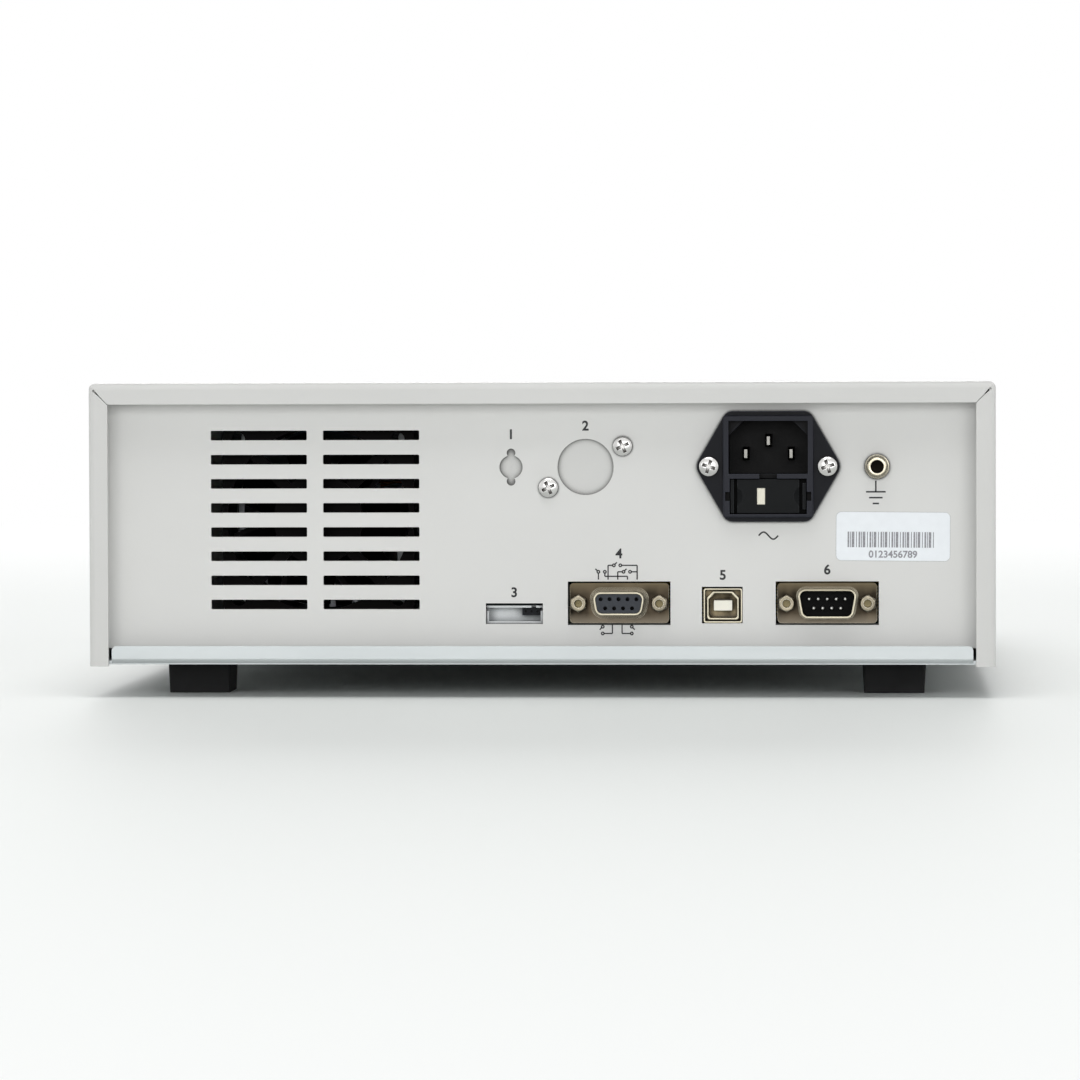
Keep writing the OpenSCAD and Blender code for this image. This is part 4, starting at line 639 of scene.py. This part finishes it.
def earth_symbol(art, x, top):
    """Three shrinking bars under a stem."""
    stem = 3.2 * MM
    bar_drop = 1.8 * MM
    bar_widths = (6.0 * MM, 4.1 * MM, 1.9 * MM)
    art.line((x, top), (x, top - stem))
    for i, width in enumerate(bar_widths):
        y = top - stem - i * bar_drop
        art.bar(x - width / 2, y - INK_LINE, x + width / 2, y)


def contact_diagram(art, x, top, bottom):
    """Line symbols of the contacts: leads from the socket's pins to open switches above and below it."""
    pitch = 3 * MM
    dot = 0.4 * MM
    lever = 1.3 * MM
    foot = top + 1.1 * MM
    low, middle_row, high = top + 2.1 * MM, top + 3.5 * MM, top + 5.5 * MM
    leads = [x - 0.4 * MM + (i - 2) * pitch for i in range(5)]

    def switch(at, up, lean=None):
        art.ring(at, up, dot, FINE_LINE)
        if lean is not None:
            reach = Vector((math.cos(lean), math.sin(lean)))
            at_rim = Vector((at, up)) + reach * dot
            art.line(at_rim, at_rim + reach * lever * 0.7, FINE_LINE)

    rising = math.radians(45)
    switch(leads[0], middle_row, math.pi - rising)
    art.path([(leads[0], foot), (leads[0], middle_row - dot)], FINE_LINE)
    fixed = leads[0] + 2 * MM
    switch(fixed, middle_row)
    art.path([(fixed, middle_row - dot), (fixed, low), (leads[3], low), (leads[3], foot)], FINE_LINE)
    for lead, row in ((leads[1], high), (leads[2], middle_row)):
        near = lead + 1.8 * MM
        far = near + 2 * MM
        switch(near, row, rising)
        switch(far, row)
        art.path([(lead, foot), (lead, row), (near - dot, row)], FINE_LINE)
        art.path([(far + dot, row), (leads[4], row), (leads[4], foot)], FINE_LINE)
    for side in (-1, 1):
        lead = x - 0.6 * MM + side * pitch / 2
        end = lead + side * 3 * MM
        row = bottom - 3.1 * MM
        switch(end, bottom - 1 * MM, math.radians(-90 + side * 45))
        switch(end, row)
        art.path([(lead, bottom - 0.2 * MM), (lead, row), (end - side * dot, row)], FINE_LINE)


def print_rear():
    """Plain numbers and line symbols beside the rear connectors."""
    art = Print()
    ground = middle("ground_terminal")
    earth_symbol(art, -ground.x - EARTH_SHIFT, ground.z - SYMBOL_DROP)
    handler_low, handler_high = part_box("handler_shell")
    handler_u = -middle("handler_shell").x
    contact_diagram(art, handler_u, handler_high.z, handler_low.z)
    inlet = middle("inlet_body")
    art.wave(-inlet.x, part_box("inlet_body")[0].z - SYMBOL_DROP, WAVE_LENGTH, WAVE_SWING)
    art.finish("rear_print", rear_frame(0, 0), "black_ink", "case")

    plate = middle("blank_plate")
    ports = {
        "rear_number_1": (RTN_HOLE_RIGHT, plate.z + RTN_HOLE_RISE),
        "rear_number_2": (HV_HOLE_RIGHT, plate.z + HV_HOLE_RISE),
        "rear_number_3": (-middle("signal_shroud").x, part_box("signal_shroud")[1].z + NUMERAL_RISE),
        "rear_number_4": (handler_u, handler_high.z + DIAGRAM_RISE),
        "rear_number_5": (-middle("usb_shell").x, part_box("usb_shell")[1].z + NUMERAL_RISE),
        "rear_number_6": (-middle("serial_shell").x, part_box("serial_shell")[1].z + NUMERAL_RISE),
    }
    for name, (right, up) in ports.items():
        add_numeral(name, name[-1], rear_frame(right, up), NUMERAL_HEIGHT, "black_ink", "case")


def rounded_outline(width, height, radius, steps=8):
    """A rectangle with round corners, anticlockwise from the lower right."""
    points = []
    for turn, (sx, sy) in enumerate(((1, -1), (1, 1), (-1, 1), (-1, -1))):
        for i in range(steps + 1):
            angle = math.radians(-90 + 90 * turn + 90 * i / steps)
            points.append((sx * (width / 2 - radius) + radius * math.cos(angle),
                           sy * (height / 2 - radius) + radius * math.sin(angle)))
    return points


def stick_label():
    """A white sticker with one band of even bars over the ten digits."""
    at = rear_frame(LABEL_RIGHT, FLOOR_Z + LABEL_UP, LABEL_TILT)
    sheet = Print()
    sheet.prism(rounded_outline(*LABEL_SIZE, LABEL_CORNER), LABEL_THICK)
    sheet.finish("label_sheet", at, "label_paper", "case")
    bars = Print()
    x = BAR_START
    while x < BAR_START + BAR_SPAN:
        for bar, gap in BAR_STEPS:
            bars.bar(x, BAR_LOW, x + bar * BAR_UNIT, BAR_HIGH)
            x += (bar + gap) * BAR_UNIT
    bars.finish("label_bars", at @ Matrix.Translation((0, 0, LABEL_THICK)), "label_bars", "case")
    digits = at @ Matrix.Translation((0, DIGITS_UP, LABEL_THICK))
    add_numeral("label_digits", "0123456789", digits, DIGITS_HEIGHT, "label_bars", "case")


def key_mark(name, finish, draw):
    """A printed symbol on the face of a key or button."""
    art = Print()
    draw(art)
    centre = middle(name)
    art.finish(name + "_mark", front_frame(centre.x, centre.z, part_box(name)[0].y), finish, name)


def triangle(turn, size):
    """A filled triangle that points along an angle."""
    def draw(art):
        corners = [turn + math.tau * i / 3 for i in range(3)]
        art.prism([(size * math.cos(a), size * math.sin(a)) for a in corners])
    return draw


def square(size):
    """A filled square."""
    def draw(art):
        art.bar(-size, -size, size, size)
    return draw


def power_symbol(art):
    """A ring beside a bar."""
    ring_left, ring_radius = 1.8 * MM, 1.3 * MM
    bar_right, bar_half = 1.5 * MM, 1.5 * MM
    art.ring(-ring_left, 0, ring_radius)
    art.bar(bar_right, -bar_half, bar_right + INK_LINE, bar_half)


def print_keys():
    """Symbols and plain numbers on the operator's keys."""
    for i, way in enumerate(("right", "up", "left", "down")):
        key_mark("arrow_key_" + way, "black_ink", triangle(math.radians(90 * i), ARROW_RADIUS))
    key_mark("start_button", "white_ink", triangle(0, START_RADIUS))
    key_mark("stop_button", "white_ink", square(STOP_HALF))
    key_mark("power_button", "white_ink", power_symbol)
    for i in range(1, 5):
        key = "soft_key_%d" % i
        centre = middle(key)
        at = front_frame(centre.x, centre.z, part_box(key)[0].y)
        add_numeral(key + "_mark", str(i), at, KEY_NUMERAL_HEIGHT, "black_ink", key)


# Studio

def add_floor():
    """A pale floor that fades to white away from the object."""
    mesh = bmesh.new()
    bmesh.ops.create_circle(mesh, cap_ends=True, radius=FLOOR_RADIUS, segments=96)
    data = bpy.data.meshes.new("floor")
    mesh.to_mesh(data)
    mesh.free()
    floor = bpy.data.objects.new("floor", data)
    bpy.context.scene.collection.objects.link(floor)
    floor.location.z = -FLOOR_DROP
    data.materials.append(floor_material())


def seen_directly(tree):
    """1 for rays that show the background itself: seen, mirrored or through glass."""
    path = tree.nodes.new("ShaderNodeLightPath")
    total = path.outputs["Is Camera Ray"]
    for kind in ("Is Glossy Ray", "Is Transmission Ray"):
        add = tree.nodes.new("ShaderNodeMath")
        add.operation = "MAXIMUM"
        tree.links.new(total, add.inputs[0])
        tree.links.new(path.outputs[kind], add.inputs[1])
        total = add.outputs[0]
    return total


def floor_material():
    """Diffuse near the object, white light at strength 1 far from it."""
    material = bpy.data.materials.new("floor_finish")
    material.use_nodes = True
    tree = material.node_tree
    shader = tree.nodes["Principled BSDF"]
    shader.inputs["Base Color"].default_value = colour(*FLOOR_RGB)
    shader.inputs["Roughness"].default_value = 0.6
    shader.inputs["Specular IOR Level"].default_value = 0.2
    white = tree.nodes.new("ShaderNodeEmission")
    place = tree.nodes.new("ShaderNodeTexCoord")
    length = tree.nodes.new("ShaderNodeVectorMath")
    length.operation = "LENGTH"
    fade = tree.nodes.new("ShaderNodeMapRange")
    fade.interpolation_type = "SMOOTHSTEP"
    fade.inputs["From Min"].default_value = FLOOR_FADE[0]
    fade.inputs["From Max"].default_value = FLOOR_FADE[1]
    gate = tree.nodes.new("ShaderNodeMath")
    gate.operation = "MULTIPLY"
    mix = tree.nodes.new("ShaderNodeMixShader")
    tree.links.new(place.outputs["Object"], length.inputs[0])
    tree.links.new(length.outputs["Value"], fade.inputs["Value"])
    tree.links.new(fade.outputs["Result"], gate.inputs[0])
    tree.links.new(seen_directly(tree), gate.inputs[1])
    tree.links.new(gate.outputs[0], mix.inputs["Fac"])
    tree.links.new(shader.outputs[0], mix.inputs[1])
    tree.links.new(white.outputs[0], mix.inputs[2])
    tree.links.new(mix.outputs[0], tree.nodes["Material Output"].inputs["Surface"])
    return material


def light_world():
    """Even light from all round, white where it is seen."""
    world = bpy.data.worlds.new("studio")
    bpy.context.scene.world = world
    world.use_nodes = True
    tree = world.node_tree
    background = tree.nodes["Background"]
    background.inputs["Color"].default_value = (1, 1, 1, 1)
    level = tree.nodes.new("ShaderNodeMapRange")
    level.inputs["To Min"].default_value = WORLD_LEVEL
    level.inputs["To Max"].default_value = 1.0
    tree.links.new(seen_directly(tree), level.inputs["Value"])
    tree.links.new(level.outputs["Result"], background.inputs["Strength"])


def add_softbox(name, place, target, width, height, power):
    """A rectangular area light aimed at a point."""
    data = bpy.data.lights.new(name, "AREA")
    data.shape = "RECTANGLE"
    data.size = width
    data.size_y = height
    data.energy = power
    lamp = bpy.data.objects.new(name, data)
    bpy.context.scene.collection.objects.link(lamp)
    lamp.location = place
    lamp.rotation_euler = (Vector(target) - Vector(place)).to_track_quat("-Z", "Y").to_euler()


def light_studio():
    """A broad light before each side, and one over the rear edge."""
    light_world()
    add_softbox("rear_softbox", (-0.15, 2.4, 0.5), (0, 0.18, 0.05), 2.6, 0.9, 27)
    add_softbox("front_softbox", (0.2, -2.4, 0.7), (0, -0.18, 0.05), 2.4, 1.2, 26)
    for side in (-1, 1):
        add_softbox("side_softbox_%d" % (side + 2), (side * 2.4, 0, 0.8), (0, 0, 0.05), 1.6, 1.2, 14)
    add_softbox("top_softbox", (0, 0.8, 2.2), (0, 0.5, 0), 1.6, 1.6, 24)


def add_camera():
    """The camera of the photograph, from its distance, height and aim."""
    rear_y = rear_of("top_cover")
    forward = Vector((-math.sin(CAMERA_YAW) * math.cos(CAMERA_PITCH),
                      -math.cos(CAMERA_YAW) * math.cos(CAMERA_PITCH),
                      -math.sin(CAMERA_PITCH)))
    right = Vector((-math.cos(CAMERA_YAW), math.sin(CAMERA_YAW), 0))
    up = right.cross(forward)
    rolled_right = right * math.cos(CAMERA_ROLL) + up * math.sin(CAMERA_ROLL)
    rolled_up = up * math.cos(CAMERA_ROLL) - right * math.sin(CAMERA_ROLL)
    axes = Matrix((rolled_right, rolled_up, -forward)).transposed().to_4x4()
    data = bpy.data.cameras.new("camera")
    data.sensor_width = SENSOR_MM
    data.sensor_fit = "HORIZONTAL"
    data.lens = FOCAL_PX / IMAGE_PX * SENSOR_MM
    camera = bpy.data.objects.new("camera", data)
    bpy.context.scene.collection.objects.link(camera)
    camera.matrix_world = Matrix.Translation((-CAMERA_RIGHT, rear_y + CAMERA_BACK, CAMERA_HEIGHT)) @ axes
    bpy.context.scene.camera = camera


add_camera()
dress_nodes()
for node_name, edge in EDGE_WIDTH.items():
    soften(node_name, edge)
print_rear()
stick_label()
print_keys()
add_floor()
light_studio()
bpy.context.scene.view_settings.view_transform = "Standard"
